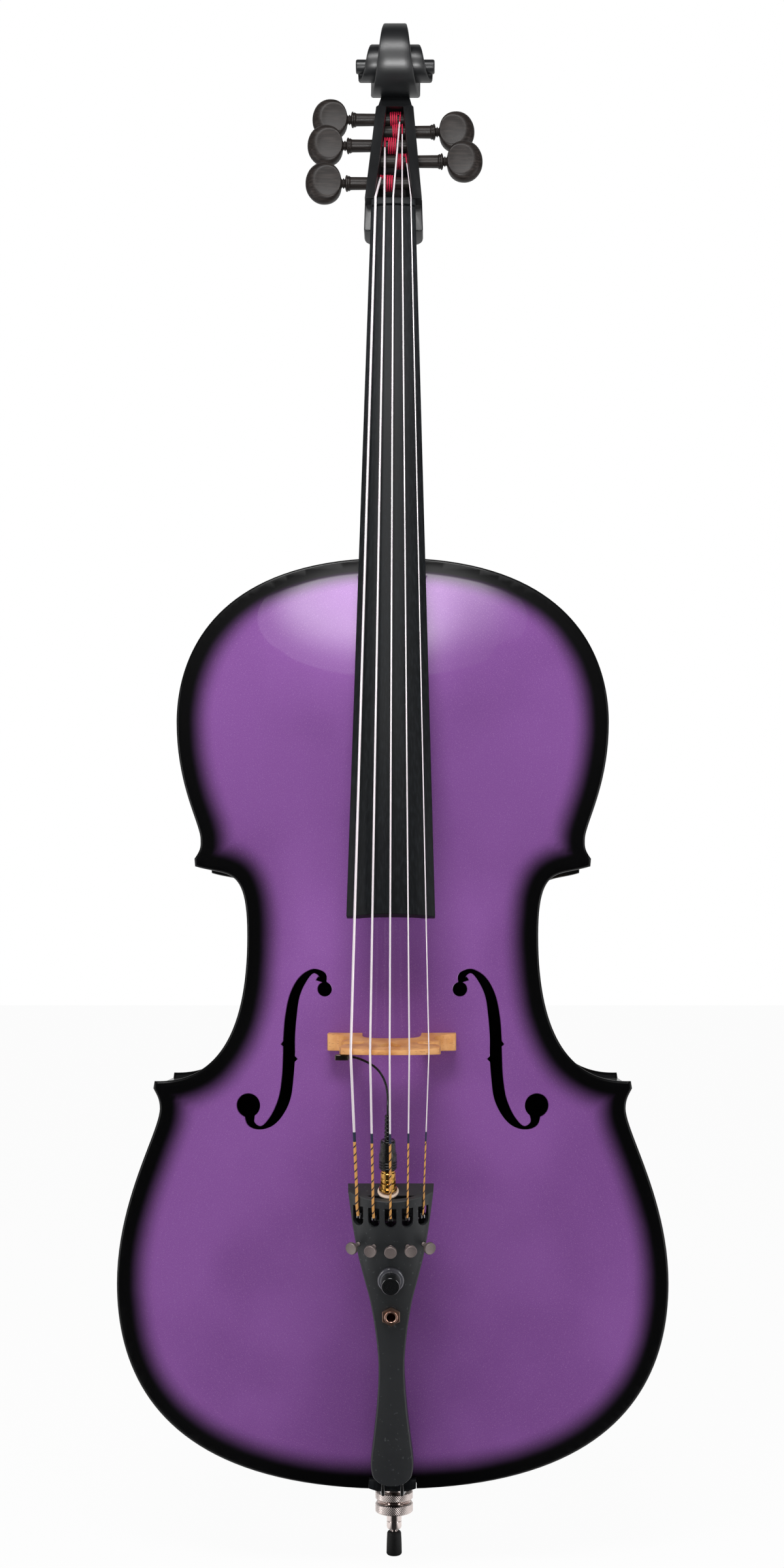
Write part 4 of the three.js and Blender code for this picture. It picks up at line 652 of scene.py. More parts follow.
cord_black = rubber("black_cord", "0b0b0b", "161616", 0.2)
tail_black = composite()
washer_cream = rubber("washer_cream", "cfb6a2", "ecd9c8", 0.3)
knob_black = knob_plastic()


# The lead first: from the pickup on the bridge to the plug in the tailpiece

pickup_width, pickup_tall, pickup_thick = 10.5, 10, 4.4
pickup_centre = Vector((-0.72 * bridge_span / 2, -edge_half - 0.83 * bridge_height,
                        bridge_place - bridge_crown_thick / 2 - seat_gap - pickup_thick / 2))
jack_x, jack_depth_in, relief_end, lead_width = -2, 12, 59, 1.8
in_jack = Matrix.Translation((jack_x, jack_depth_in, 0))


def lead_route():
    start = pickup_centre + Vector((pickup_width / 2 + seat_gap, 0, 0))
    middle = [(-25.6, 0.6, 354.2), (-20.4, 1.9, 352.2), (-15.8, 3.3, 349.8), (-11.6, 4.5, 346.8),
              (-8.1, 5.3, 343), (-5.4, 5.6, 338.6), (-3.5, 5.2, 333.6), (-2.4, 4.4, 328.2),
              (-1.9, 3.3, 322.6)]
    tail_to_body = in_body.inverted() @ in_tail
    into_plug = [tail_to_body @ Vector((jack_x, jack_depth_in, relief_end + over))
                 for over in (3 * lead_width, lead_width, seat_gap)]
    route = [start, start + Vector((2 * lead_width, 0, 0)),
             *[Vector((x, pickup_centre.y + y, z)) for x, y, z in middle], *into_plug]
    return [to_metres @ (in_body @ p) for p in through(route, 8)]


lead_line = lead_route()
lead_cord = sweep([p * 1000 for p in lead_line], lead_width / 2, 14)
lead = finished("pickup_lead", lead_cord, cord_black)


# The body's outline; each curve runs up the right side

waist_share = 0.5942
lower_curves = [
    (40, [(0, 0), (0.806 * lower_half, 0), (lower_half, 0.1124), (lower_half, 0.2207)]),
    (22, [(lower_half, 0.2207), (lower_half, 0.3105), (lower_flank, 0.3838), (lower_flank, 0.4085)]),
    (8, [(lower_flank, 0.4085), (lower_flank, 0.4192),
         (0.988 * lower_corner, 0.4239), (lower_corner, 0.4302)]),
]
waist_curves = [
    (34, [(0.995 * lower_corner, 0.4379), (0.779 * lower_corner, 0.436),
          (waist_half, 0.4722), (waist_half, waist_share)]),
    (24, [(waist_half, waist_share), (waist_half, 0.672),
          (0.833 * upper_corner, 0.6576), (0.997 * upper_corner, 0.6685)]),
]
upper_curves = [
    (8, [(upper_corner, 0.6768), (0.9645 * upper_corner, 0.687), (upper_flank, 0.691), (upper_flank, 0.697)]),
    (18, [(upper_flank, 0.697), (upper_flank, 0.714), (upper_half, 0.7543), (upper_half, 0.8233)]),
    (40, [(upper_half, 0.8233), (upper_half, 0.869), (0.926 * upper_half, 1), (0, 1)]),
]


def curve_line(pieces, inset=0.0):
    """Points along a curve, moved to its left by an inset."""
    line = []
    for steps, points in pieces:
        a, b, c, d = [np.array((x, z * body_length)) for x, z in points]
        for i in range(1 if line else 0, steps + 1):
            t = i / steps
            point = a * (1 - t) ** 3 + 3 * b * t * (1 - t) ** 2 + 3 * c * t ** 2 * (1 - t) + d * t ** 3
            way = (b - a) * (1 - t) ** 2 + 2 * (c - b) * t * (1 - t) + (d - c) * t ** 2
            way /= np.hypot(*way)
            x = 0.0 if abs(point[0]) < 1e-9 else point[0] - way[1] * inset
            line.append((float(x), float(point[1] + way[0] * inset)))
    return line


def body_outline():
    right = curve_line(lower_curves) + curve_line(waist_curves) + curve_line(upper_curves)
    return right + [(-x, z) for x, z in reversed(right[1:-1])]


def inset_loop(loop, distance):
    """Moves a closed outline inwards, square to its sides and mitred at its corners."""
    rows = np.array(loop)
    way = np.roll(rows, -1, axis=0) - rows
    way /= np.hypot(way[:, 0], way[:, 1])[:, None]
    inward = np.stack([-way[:, 1], way[:, 0]], axis=1)
    middle = inward + np.roll(inward, 1, axis=0)
    middle /= np.hypot(middle[:, 0], middle[:, 1])[:, None]
    reach = distance / np.maximum(0.4, (middle * inward).sum(axis=1))
    return rows + middle * reach[:, None]


lower_edge = sorted(curve_line(lower_curves[:1]), key=lambda p: p[1])
upper_edge = sorted(curve_line(upper_curves[2:]), key=lambda p: p[1])


def field_half(height):
    """Half-width of the arched field, which runs past the corners without their points."""
    low, waist, high = lower_edge[-1][1], waist_share * body_length, upper_edge[0][1]
    if height <= low or height >= high:
        edge = lower_edge if height <= low else upper_edge
        half = float(np.interp(height, [z for _, z in edge], [x for x, _ in edge]))
        return max(half, inner_margin + outer_margin)
    wide, narrow, start, end = ((lower_half, waist_half, low, waist) if height < waist
                                else (waist_half, upper_half, waist, high))
    return mix(wide, narrow, (1 - math.cos(math.pi * (height - start) / (end - start))) / 2)


def arch_at(x, height, margin):
    along = (height - margin) / (body_length - 2 * margin)
    across = abs(x) / (field_half(height) - margin)
    if across >= 1 or not 0 < along < 1:
        return 0.0
    rise = ((1 + math.cos(math.pi * across)) / 2) ** arch_fullness
    return arch_height * rise * (1 - abs(2 * along - 1) ** arch_squareness)


def outer_face(x, height):
    return edge_half + arch_at(x, height, outer_margin)


def inner_face(x, height):
    return rib_half + arch_at(x, height, inner_margin)


def boundary_loop(bm, faces):
    """The points round a set of faces, in order."""
    inside = set(faces)
    edges = {e for f in faces for e in f.edges if sum(g in inside for g in e.link_faces) == 1}
    edge = next(iter(edges))
    first = vert = edge.verts[0]
    loop = []
    while True:
        loop.append(vert)
        edges.discard(edge)
        vert = edge.other_vert(vert)
        if vert is first:
            return loop
        edge = next(e for e in vert.link_edges if e in edges)


def plate(side):
    """A carved plate with a rounded edge; side is -1 for the front and 1 for the back."""
    round_over = 2.2
    bm = blank()
    order = bm.verts.layers.int["order"]
    bm.faces.new([bm.verts.new((x, 0, z)) for x, z in inset_loop(body_outline(), round_over)])
    pitch = 5.0
    planes = [((0, 0, z), (0, 0, 1)) for z in np.arange(pitch, body_length, pitch)]
    planes += [((x, 0, 0), (1, 0, 0)) for x in np.arange(-220, 221, pitch)]
    for place, normal in planes:
        bmesh.ops.bisect_plane(bm, geom=all_of(bm), dist=0.4, plane_co=place, plane_no=normal)
    loop = boundary_loop(bm, bm.faces[:])
    for k, vert in enumerate(loop):
        vert[order] = k + 1
    flat = np.array([(v.co.x, v.co.z) for v in loop])
    area = np.dot(flat[:, 0], np.roll(flat[:, 1], -1)) - np.dot(flat[:, 1], np.roll(flat[:, 0], -1))
    if area > 0:
        full = inset_loop(flat, -round_over)
    else:
        full = inset_loop(flat[::-1], -round_over)[::-1]
    twin = bmesh.ops.duplicate(bm, geom=all_of(bm))["geom"]
    inner = {v for v in twin if isinstance(v, BMVert)}
    for vert in bm.verts:
        if vert in inner:
            vert.co.y = side * inner_face(vert.co.x, vert.co.z)
        else:
            vert.co.y = side * outer_face(vert.co.x, vert.co.z)
    for face in bm.faces:
        face.material_index = 1 if face.verts[0] in inner else 0
    loop = [v for v in bm.verts if v not in inner and v[order] > 0]
    ring = set(loop)
    edges = [e for e in bm.edges if e.verts[0] in ring and e.verts[1] in ring and len(e.link_faces) == 1]
    rows = [(math.sin(a), (math.cos(a) - 1) * round_over) for a in np.radians([22, 45, 68, 90])]
    rows += [(1, None), (0.75, 0.0), (0, 0.0)]
    for out, drop in rows:
        fresh, edges = grown(bm, edges)
        for vert in fresh:
            k = vert[order] - 1
            x, z = mix(flat[k], full[k], out)
            if drop is None:
                y = rib_half + 0.6
            elif out > 0.2 and drop < 0 or out == 1:
                y = outer_face(*flat[k]) + drop
            else:
                y = inner_face(*flat[k])
            vert.co = (x, side * y, z)
    bmesh.ops.remove_doubles(bm, verts=bm.verts, dist=2e-3)
    bmesh.ops.recalc_face_normals(bm, faces=bm.faces)
    return bm


# F-holes

f_length, f_stem, f_place = 129, 9.8, 83
f_stem_rows = [
    (-0.2, 0.42, 0.9), (-0.208, 0.462, 0.6), (-0.153, 0.488, 0.35), (-0.081, 0.431, 0.69),
    (-0.034, 0.339, 0.83), (-0.009, 0.205, 0.96), (0.001, 0.074, 0.97), (0.002, -0.049, 1),
    (0.009, -0.171, 0.97), (0.026, -0.295, 0.98), (0.06, -0.381, 0.88), (0.109, -0.45, 0.67),
    (0.18, -0.491, 0.28), (0.242, -0.461, 0.66), (0.25, -0.4, 0.9)]
f_eye_rows = [(-0.223, 0.375, 5.8), (0.258, -0.353, 9.6)]
f_nick_rows = [(-0.5, -0.06), (0.5, 0.03)]


def circle(x, z, radius, sides):
    return [(x + radius * math.cos(k * 2 * math.pi / sides), z + radius * math.sin(k * 2 * math.pi / sides))
            for k in range(sides)]


def f_hole_outline(side):
    """One clean outline of the stem, the two eyes and the two nicks, joined as prisms."""
    middle, deep = bridge_place - 2, 10
    # The third number is ten half-widths, which lets the width count in how the line is spaced.
    line = through([(f_place + x * f_length, middle + z * f_length, wide * f_stem * 5)
                    for x, z, wide in f_stem_rows], 5)
    left, right = [], []
    for i, point in enumerate(line):
        way = line[min(i + 1, len(line) - 1)] - line[max(i - 1, 0)]
        way = Vector((way.x, way.y)).normalized() * (point.z / 10)
        left.append((side * (point.x - way.y), point.y + way.x))
        right.append((side * (point.x + way.y), point.y - way.x))
    parts = [prism(left + right[::-1], 0, deep)]
    for x, z, radius in f_eye_rows:
        eye = circle(side * (f_place + x * f_length), middle + z * f_length, radius, 40)
        parts.append(prism(eye, 0, deep))
    for x, z in f_nick_rows:
        root, at = f_place + x * f_stem, middle + z * f_length
        out = math.copysign(2, x)
        nick = [(side * (root + out), at), (side * (root - out), at + 4), (side * (root - out), at - 4)]
        parts.append(prism(nick, 0, deep))
    solid = carved(*parts, operation="UNION")
    bmesh.ops.dissolve_limit(solid, angle_limit=0.01, verts=solid.verts, edges=solid.edges)
    bmesh.ops.remove_doubles(solid, verts=solid.verts, dist=0.7)
    cap = [f for f in solid.faces if all(abs(v.co.y) < 1e-3 for v in f.verts)]
    loop = [(v.co.x, v.co.z) for v in boundary_loop(solid, cap)]
    solid.free()
    turn = sum(a[0] * b[1] - a[1] * b[0] for a, b in zip(loop, loop[1:] + loop[:1]))
    return loop if turn > 0 else loop[::-1]


def f_hole_tool(side):
    """Cuts the hole square through the plate and breaks its front edge."""
    chamfer = 0.6
    loop = np.array(f_hole_outline(side))
    out = loop - inset_loop(loop, 1)
    out /= np.maximum(1, np.hypot(out[:, 0], out[:, 1]))[:, None]
    for _ in range(3):
        out = (out + np.roll(out, 1, axis=0) + np.roll(out, -1, axis=0)) / 3
    wide = loop + out * chamfer
    front = [Vector((x, -110, z)) for x, z in wide]
    lip = [Vector((x, -outer_face(*p) - 0.05, z)) for (x, z), p in zip(wide, loop)]
    throat = [Vector((x, chamfer - outer_face(x, z), z)) for x, z in loop]
    back = [Vector((x, -40, z)) for x, z in loop]
    return loft([front, lip, throat, back])


# The neck's underside, which the top plate and the ribs are cut for

board_length = neck_length + board_overlap
thick_nut = board_side + crown_drop(nut_half, board_radius)
thick_end = board_side + crown_drop(board_end_half, board_radius)
heel_half, heel_reach, neck_depth, root_depth = 25.5, 46, 18, 8


def board_half_at(z):
    return mix(nut_half, board_end_half, (neck_length - z) / board_length)


def board_under_at(z):
    return mix(thick_nut, thick_end, (neck_length - z) / board_length)


def heel_depth(z):
    glue_line = in_body.inverted() @ in_neck @ Vector((0, board_under_at(z) + seat_gap, z))
    return rib_half - seat_gap - glue_line.y


def neck_ring(z, half, depth, lean, grow=0.0, steps=28):
    top = board_under_at(z) + seat_gap - grow
    down_way = Vector((0, math.cos(lean), math.sin(lean)))
    ring = []
    for i in range(steps + 1):
        angle = math.pi * i / steps
        share = math.cos(angle)
        x = -math.copysign((half + grow) * abs(share) ** 0.8, share)
        ring.append(Vector((x, top, z)) + down_way * ((depth + 2 * grow) * max(math.sin(angle), 0) ** 0.8))
    return ring


def neck_root(grow):
    low = -root_depth - edge_overhang - grow
    return loft([neck_ring(z, heel_half, heel_depth(z), neck_lean, grow) for z in (heel_reach / 3, low)])


def neck_seat():
    """The cut that the neck's root leaves in the top plate and the upper ribs."""
    return placed(neck_root(seat_gap), in_body.inverted() @ in_neck)


# Body pieces

saddle_half, saddle_tall, saddle_deep, saddle_slant = 19, 8.5, 10, 3.6


def top_plate():
    reach = saddle_half + seat_gap
    seat = block(-reach, reach, -90, seat_gap - rib_half, -1, saddle_deep + seat_gap)
    return carved(plate(-1), f_hole_tool(-1), f_hole_tool(1), neck_seat(), seat)


def back_plate():
    round_button = circle(0, body_length - button_radius / 6, button_radius, 64)
    button = prism(round_button, rib_half + 0.02, edge_half - 0.02)
    softened(button, 1.2, chosen=lambda e: all(v.co.y > rib_half + 1 for v in e.verts))
    return carved(plate(1), button, operation="UNION")


def note_rim(piece):
    """Keeps each point's distance from the plate's edge, in millimetres, for the sprayed burst; points on the
    walls of the holes and cuts get 0, the burst's black, as painted shade.
    """
    edge = np.array(body_outline())
    away = np.roll(edge, -1, axis=0) - edge
    size = (away ** 2).sum(axis=1)
    mesh = piece.data
    place = np.empty(len(mesh.vertices) * 3)
    mesh.vertices.foreach_get("co", place)
    place = place.reshape(-1, 3) * 1000
    flat = place[:, [0, 2]] - (0, body_rise)
    rim = np.full(len(flat), 1e9)
    for start, way, long in zip(edge, away, size):
        share = np.clip(((flat - start) @ way) / long, 0, 1)
        rim = np.minimum(rim, np.hypot(*(flat - start - share[:, None] * way).T))
    shell = np.array([-outer_face(x, z) for x, z in flat])
    # Points more than 1.2 mm behind the front face, on the walls of the f-holes and cuts, get 0 and so the
    # burst's black: painted shade for the dark in the holes.
    rim[place[:, 1] > shell + 1.2] = 0
    layer = mesh.attributes.new("rim", "FLOAT", "POINT")
    layer.data.foreach_set("value", rim.astype(np.float32))


top = finished("top_plate", placed(top_plate(), in_body), [purple, bare_spruce])
note_rim(top)
# The back plate's inner face is satin black: painted shade for the dark seen through the f-holes.
finished("back_plate", placed(back_plate(), in_body), [black, satin])


def rib(curves, *mitres):
    """A bent strip set in from the plates' edges, cut along its corners' mitres."""
    outer, inner = [curve_line(curves, edge_overhang + deep) for deep in (0, rib_thickness)]
    deep = rib_half - seat_gap
    strip = loft([[Vector((a[0], -deep, a[1])), Vector((a[0], deep, a[1])),
                   Vector((b[0], deep, b[1])), Vector((b[0], -deep, b[1]))] for a, b in zip(outer, inner)])
    for (x, z), (dx, dz), side in mitres:
        normal = Vector((-dz, 0, dx)).normalized() * side
        bmesh.ops.bisect_plane(strip, geom=all_of(strip), dist=1e-4, clear_outer=True, plane_no=normal,
                               plane_co=Vector((x, 0, z)) - normal * (seat_gap / 2))
        bmesh.ops.holes_fill(strip, edges=[e for e in strip.edges if len(e.link_faces) == 1], sides=0)
    return outward(strip)


lower_tip, upper_tip = (lower_corner, 0.434 * body_length), (upper_corner, 0.6727 * body_length)
lower_mitre, upper_mitre = (-0.73, -0.68), (-0.91, 0.41)
rib_cuts = {
    "lower": (lower_curves, [(lower_tip, lower_mitre, -1)]),
    "waist": (waist_curves, [(lower_tip, lower_mitre, 1), (upper_tip, upper_mitre, -1)]),
    "upper": (upper_curves, [(upper_tip, upper_mitre, 1)]),
}
for part, (curves, mitres) in rib_cuts.items():
    for hand in ("right", "left"):
        strip = rib(curves, *mitres)
        if part == "lower":
            strip = carved(strip, rod(socket_radius + seat_gap, -40, 40))
        if part == "upper":
            strip = carved(strip, neck_seat())
        if hand == "left":
            mirrored(strip)
        finished(f"rib_{part}_{hand}", placed(strip, in_body), black)


def saddle():
    front, back = -edge_half - saddle_tall, -rib_half
    outline = [(front + 3, 0), (front, 3), (front, saddle_deep - 3), (front + 1.5, saddle_deep),
               (back, saddle_deep), (back, 0)]
    wood = prism(outline, -saddle_half, saddle_half, plane="yz")
    ends = []
    for side in (-1, 1):
        near, far = side * (saddle_half - 9), side * (saddle_half + 1)
        ends.append(prism([(near, -1), (far, -1), (far, saddle_slant)], -120, 20))
    return softened(carved(wood, *ends), 0.9, segments=3)


finished("saddle", placed(saddle(), in_body), board_ebony)


# Fingerboard and nut

def crown_ring(half, radius, under, z, crease, rise=0.0):
    places = [-half] if crease < 1 else []
    places += [mix(-crease * half, half, i / 24) for i in range(25)]
    ring = [Vector((x, crown_drop(x, radius) - rise, z)) for x in places]
    return ring + [Vector((half, under, z)), Vector((-half, under, z))]


def fingerboard():
    board = loft([crown_ring(board_half_at(z), board_radius, board_under_at(z), z, 0.58)
                  for z in (neck_length, 150, 0, -150, -board_overlap)])
    softened(board, 0.8, angle=50, segments=3)

    def scoop_ring(z, depth):
        half, under = 0.72 * board_half_at(z), board_under_at(z)
        angles = np.linspace(0, math.pi, 13)
        arc = [Vector((half * math.cos(a), under - depth * math.sin(a), z)) for a in angles]
        return [Vector((half, under + 1, z)), *arc, Vector((-half, under + 1, z))]

    scoop = [(-heel_reach / 2, 1.25), (-heel_reach, 5), (-board_overlap - 1, 5)]
    return carved(board, loft([scoop_ring(z, depth) for z, depth in scoop]))


def nut():
    under = board_under_at(neck_length) - seat_gap
    ends = [neck_length + seat_gap, neck_length + seat_gap + nut_length]
    wood = loft([crown_ring(nut_half, board_radius, under, z, 1, rise=nut_rise) for z in ends])
    softened(wood, 0.7, segments=3)
    grooves = []
    for share, wide in zip(string_shares, string_diameters):
        x = share * spread_at_nut
        y = crown_drop(x, board_radius) - nut_rise - seat_gap - wide / 2
        grooves.append(sweep([(x, y, ends[0] - 2), (x, y, ends[1] + 2)], wide / 2 + 0.55, 16))
    return carved(wood, *grooves)


finished("fingerboard", placed(fingerboard(), in_neck), board_ebony)
finished("nut", placed(nut(), in_neck), board_ebony)


# Neck, pegbox and scroll

pegbox_length, pegbox_wide, pegbox_narrow = 122, 23.5, 16
pegbox_deep, pegbox_shallow = 38, 29
cavity_wide, cavity_narrow, cavity_low, cavity_high = 15.9, 7.3, 32, 24.5
cavity_lean = math.radians(43)
chin_half, chin_length, chin_depth = 24.4, 23, 27
eye_up, eye_deep, eye_radius, eye_half = 173.3, -3.3, 5.9, 34.2
scroll_edge = 1.6
spiral_start, spiral_end = math.radians(147.6), math.radians(800)
ridge_rows = [(-0.1, 0.36), (0.41, 0.3), (0.6, 0.41), (0.78, 0.55), (0.91, 0.63), (1.41, 0.64),
              (1.67, 0.77), (1.91, 0.94), (2.2, 0.97), (3, 0.97)]
hub_rows = [(-0.1, 0.3), (0.85, 0.3), (1.0, 0.58), (1.85, 0.58), (2.0, 0.93), (3, 0.93)]


def spiral_radius(angle):
    free = 34 * 0.72 ** ((min(angle, spiral_end) - spiral_start) / math.pi)
    share = min(max((angle - 0.85 * spiral_end) / (0.15 * spiral_end), 0), 1)
    return mix(free, 0.9 * eye_radius, share * share * (3 - 2 * share))


def ridge_half(angle):
    return eye_half * read_off(ridge_rows, angle / (2 * math.pi))


def ridge_floor(angle, share):
    """How far out the dished side stands, at a share of the way in from the rim to the next turn."""
    radius, inner = spiral_radius(angle), spiral_radius(angle + 2 * math.pi)
    hub = eye_half * read_off(hub_rows, angle / (2 * math.pi))
    way_in = 1 - mix(radius, inner, share) / radius
    return mix(ridge_half(angle), hub, way_in) - 1.1 * math.sin(math.pi * share)


def scroll_side():
    """One side of the volute: a ridge whose inner edge meets its own next turn."""
    rings, turn = [], 2 * math.pi
    start, step = math.radians(-35), math.radians(5)
    count = round((spiral_end - start) / step)
    for i in range(count + 1):
        angle = start + i * step
        radius, half = spiral_radius(angle), ridge_half(angle)
        inner = spiral_radius(angle + turn)
        root = ridge_floor(angle - turn, 1) if angle - turn >= start - 1e-9 else 0
        edge = min(scroll_edge, 0.3 * (half - root), 0.4 * (radius - inner) + 0.02)
        profile = [(radius, root), (radius, mix(root, half - edge, 0.5)), (radius, half - edge),
                   (radius - 0.3 * edge, half - 0.3 * edge), (radius - edge, half)]
        profile += [(mix(radius - edge, inner, share), min(ridge_floor(angle, share), half))
                    for share in (0.15, 0.35, 0.55, 0.75, 0.9, 1)]
        rings.append([Vector((x, r * math.cos(angle), r * math.sin(angle))) for r, x in profile])
    return loft(rings, closed=False)


def scroll():
    """Both sides of the volute, and the eye that runs through them."""
    both = joined(scroll_side(), mirrored(scroll_side()))
    bmesh.ops.remove_doubles(both, verts=both.verts, dist=0.02)
    bmesh.ops.recalc_face_normals(both, faces=both.faces)
    eye = placed(rod(eye_radius, -eye_half, eye_half, 40, 1.6), to_x)
    return placed(joined(both, eye), Matrix.Translation((0, eye_deep, eye_up)))


def pegbox_half_at(t):
    return mix(pegbox_wide, pegbox_narrow, t / pegbox_length)


def rounded_section(half, front, back, curve, count):
    """A section that is square at the front, with its two back corners rounded."""
    angles = np.linspace(0, math.pi / 2, count)
    corner = [(curve * (1 - math.cos(a)), curve * (1 - math.sin(a))) for a in angles]
    left = [(-half + dx, back - dy) for dx, dy in corner]
    return [(-half, front), *left, *[(-x, y) for x, y in reversed(left)], (half, front)]


def pegbox():
    square = math.tan(head_lean - neck_lean)

    def ring(front_up, back_up, half, front, back):
        section = rounded_section(half, front, back, (back - front) / 4.2, 7)
        return [Vector((x, y, ramp(y, front, back, front_up, back_up))) for x, y in section]

    join = -math.pi / 9
    outer, inner = spiral_radius(join), spiral_radius(join + 2 * math.pi)
    back_end, back_up = eye_deep + outer * math.cos(join), eye_up + outer * math.sin(join)
    front_end, front_up = eye_deep + inner * 0.8 * math.cos(join), eye_up + inner * 0.8 * math.sin(join)
    waist, throat = 0.41 * pegbox_length, 1.13 * pegbox_length
    return loft([
        ring(0, pegbox_deep * square, pegbox_wide, 0, pegbox_deep),
        ring(waist, waist, pegbox_half_at(waist), 0, 0.97 * pegbox_deep),
        ring(pegbox_length, pegbox_length, pegbox_narrow, 0, pegbox_shallow),
        ring(throat, throat, 0.9 * pegbox_narrow, 0.32 * pegbox_shallow, 1.2 * pegbox_shallow),
        ring(front_up, back_up, ridge_half(join) - scroll_edge, front_end, back_end - scroll_edge)])


def pegbox_cavity():
    """The hollow between the pegbox's walls; both its ends lean up towards the back."""
    def ring(front_up, back_up, half, back):
        knee, knee_up = 0.85 * back, mix(front_up, back_up, 0.85)
        return [Vector(p) for p in (
            (-half, -1, front_up), (half, -1, front_up), (0.9 * half, knee, knee_up),
            (0.7 * half, back, back_up), (-0.7 * half, back, back_up), (-0.9 * half, knee, knee_up))]

    high_end = pegbox_length + math.tan(cavity_lean) * cavity_high
    return loft([ring(0.8, 0.8 + chin_length / 3, cavity_wide, cavity_low),
                 ring(pegbox_length, high_end, cavity_narrow, cavity_high)])


def chin():
    """The broad step behind the nut, where the neck widens into the pegbox."""
    top = head_start + chin_length / 4
    low = top - chin_length * 1.25

    def ring(z, depth, half):
        front = board_under_at(z) + seat_gap
        return [Vector((x, y, z)) for x, y in rounded_section(half, front, front + depth, half / 3, 6)]

    wood = loft([ring(low, 0.84 * chin_depth, 0.985 * chin_half), ring(low + 2, 0.86 * chin_depth, chin_half),
                 ring(top, chin_depth, 0.97 * chin_half)])
    return softened(wood, 1.0, angle=30, segments=3)


def neck_shaft():
    rows = [(neck_length + nut_length + seat_gap, 0.93 * nut_half, neck_depth, 0)]
    for z, grow in ((0.66 * neck_length, 1.06), (0.3 * neck_length, 1.16), (1.35 * heel_reach, 1.22)):
        rows.append((z, 0.95 * board_half_at(z), grow * neck_depth, 0))
    rows.append((heel_reach, 0.95 * heel_half, 1.35 * neck_depth, 0))
    heel_rows = [(0.72, 0.27, 0.2), (0.54, 0.39, 0.5), (0.42, 0.56, 0.8), (0.35, 0.77, 1), (0.31, 1, 1)]
    for along, down, lean in heel_rows:
        z = along * heel_reach
        rows.append((z, heel_half, down * heel_depth(z), lean * neck_lean))
    fine = []
    for a, b in zip(rows, rows[1:]):
        fine += [tuple(mix(p, q, t) for p, q in zip(a, b)) for t in (0, 0.25, 0.5, 0.75)]
    fine.append(rows[-1])
    for _ in range(2):
        threes = zip(fine, fine[1:], fine[2:])
        inner = [tuple((p + 2 * q + r) / 4 for p, q, r in zip(*three)) for three in threes]
        fine = [fine[0], *inner, fine[-1]]
    return loft([neck_ring(*row) for row in fine])


# Each peg's name, height, side, reach, place of its winding, and the way that the thread runs on.
peg_rows = [
    ("peg_1", 0.325, -1, 1, -0.84, 1),
    ("peg_2", 0.739, -1, 1, -0.86, 1),
    ("peg_3", 1.033, -1, 0.92, 0.66, -1),
    ("peg_4", 0.894, 1, 0.84, 0.78, -1),
    ("peg_5", 0.564, 1, 1.01, 0.88, -1),
]
peg_deep, peg_radius, peg_taper, peg_reach = 15.5, 5.2, 0.6, 38


def peg_bore(row):
    """The tapered hole through both walls of the pegbox."""
    wall, high = pegbox_half_at(row[1] * pegbox_length), row[3] * peg_reach
    low_radius = peg_radius - peg_taper + seat_gap
    profile = [(0, -wall - 1), (low_radius, -wall - 1), (peg_radius + seat_gap, high), (0, high)]
    in_pegbox = Matrix.Translation((0, peg_deep, row[1] * pegbox_length))
    if row[2] < 0:
        in_pegbox = in_pegbox @ flip_z
    return placed(turned(profile, sides=36, ease=0), to_x, in_pegbox)


def neck():
    box = carved(pegbox(), pegbox_cavity(), *[peg_bore(row) for row in peg_rows])
    softened(box, 0.7, angle=50, segments=2, chosen=lambda e: all(v.co.y < 12 for v in e.verts))
    below = carved(placed(chin(), in_head.inverted() @ in_neck), pegbox_cavity())
    head = placed(joined(box, below, scroll()), in_head)
    return joined(head, placed(neck_shaft(), in_neck), placed(neck_root(0), in_neck))


finished("neck", neck(), satin, crease=32)


# Pegs and their windings

peg_head_past, peg_head_long, peg_head_tall = 6, 30.5, 34.5


def peg_head(start):
    """An oval thumb-piece; each face is dished inside a crease that runs out towards the shaft."""
    rows = [(-5.3, 0.0, -3.0), (-5.35, 0.3, -3.0), (-5.6, 0.55, -3.2), (-5.95, 0.67, -3.5),
            (-6.0, 0.72, -3.5), (-5.75, 0.78, -2.8), (-4.7, 0.9, -1.3), (-2.5, 0.98, -0.25), (0, 1.0, 0)]
    rows += [(-y, size, shift) for y, size, shift in reversed(rows[:-1])]
    rings = []
    for y, size, shift in rows:
        ring = []
        for k in range(56):
            a = 2 * math.pi * k / 56
            c, s = math.cos(a), math.sin(a)
            long = math.copysign(abs(c) ** (0.86 if c < 0 else 1.0), c) * peg_head_long / 2
            ring.append(Vector((math.copysign(abs(s) ** 0.95, s) * max(size, 0.001) * peg_head_tall / 2, y,
                                start + peg_head_long / 2 + long * max(size, 0.001) + shift)))
        rings.append(ring)
    return loft(rings)


def peg(row):
    collar = row[3] * peg_reach
    wall = pegbox_half_at(row[1] * pegbox_length)
    waist, start = collar + 3.2, collar + peg_head_past
    profile = [
        (0, seat_gap - wall), (peg_radius - peg_taper, seat_gap - wall), (peg_radius, collar - 1.6),
        (6.0, collar - 0.4), (6.0, collar + 0.5), (5.6, collar + 0.6), (5.6, collar + 0.9),
        (6.6, collar + 1.0), (6.6, collar + 2.2),
        (5.2, waist - 0.4), (3.4, waist), (3.1, waist + 0.4), (4.2, waist + 0.9),
        (4.2, waist + 1.5), (3.1, waist + 2.0), (3.2, start - 0.4), (4.4, start + 0.4), (4.8, start + 1.8),
        (0, start + 3)]
    return placed(joined(turned(profile, sides=40, ease=0.35), peg_head(start)), to_x)


def on_peg(i, x, angle, run):
    """A point on a peg's thread, moved on by a run along the thread."""
    radius = peg_radius + seat_gap + silk_diameters[i] / 2
    return Vector((x, peg_deep - radius * math.cos(angle) + run * math.sin(angle),
                   peg_rows[i][1] * pegbox_length + radius * math.sin(angle) + run * math.cos(angle)))


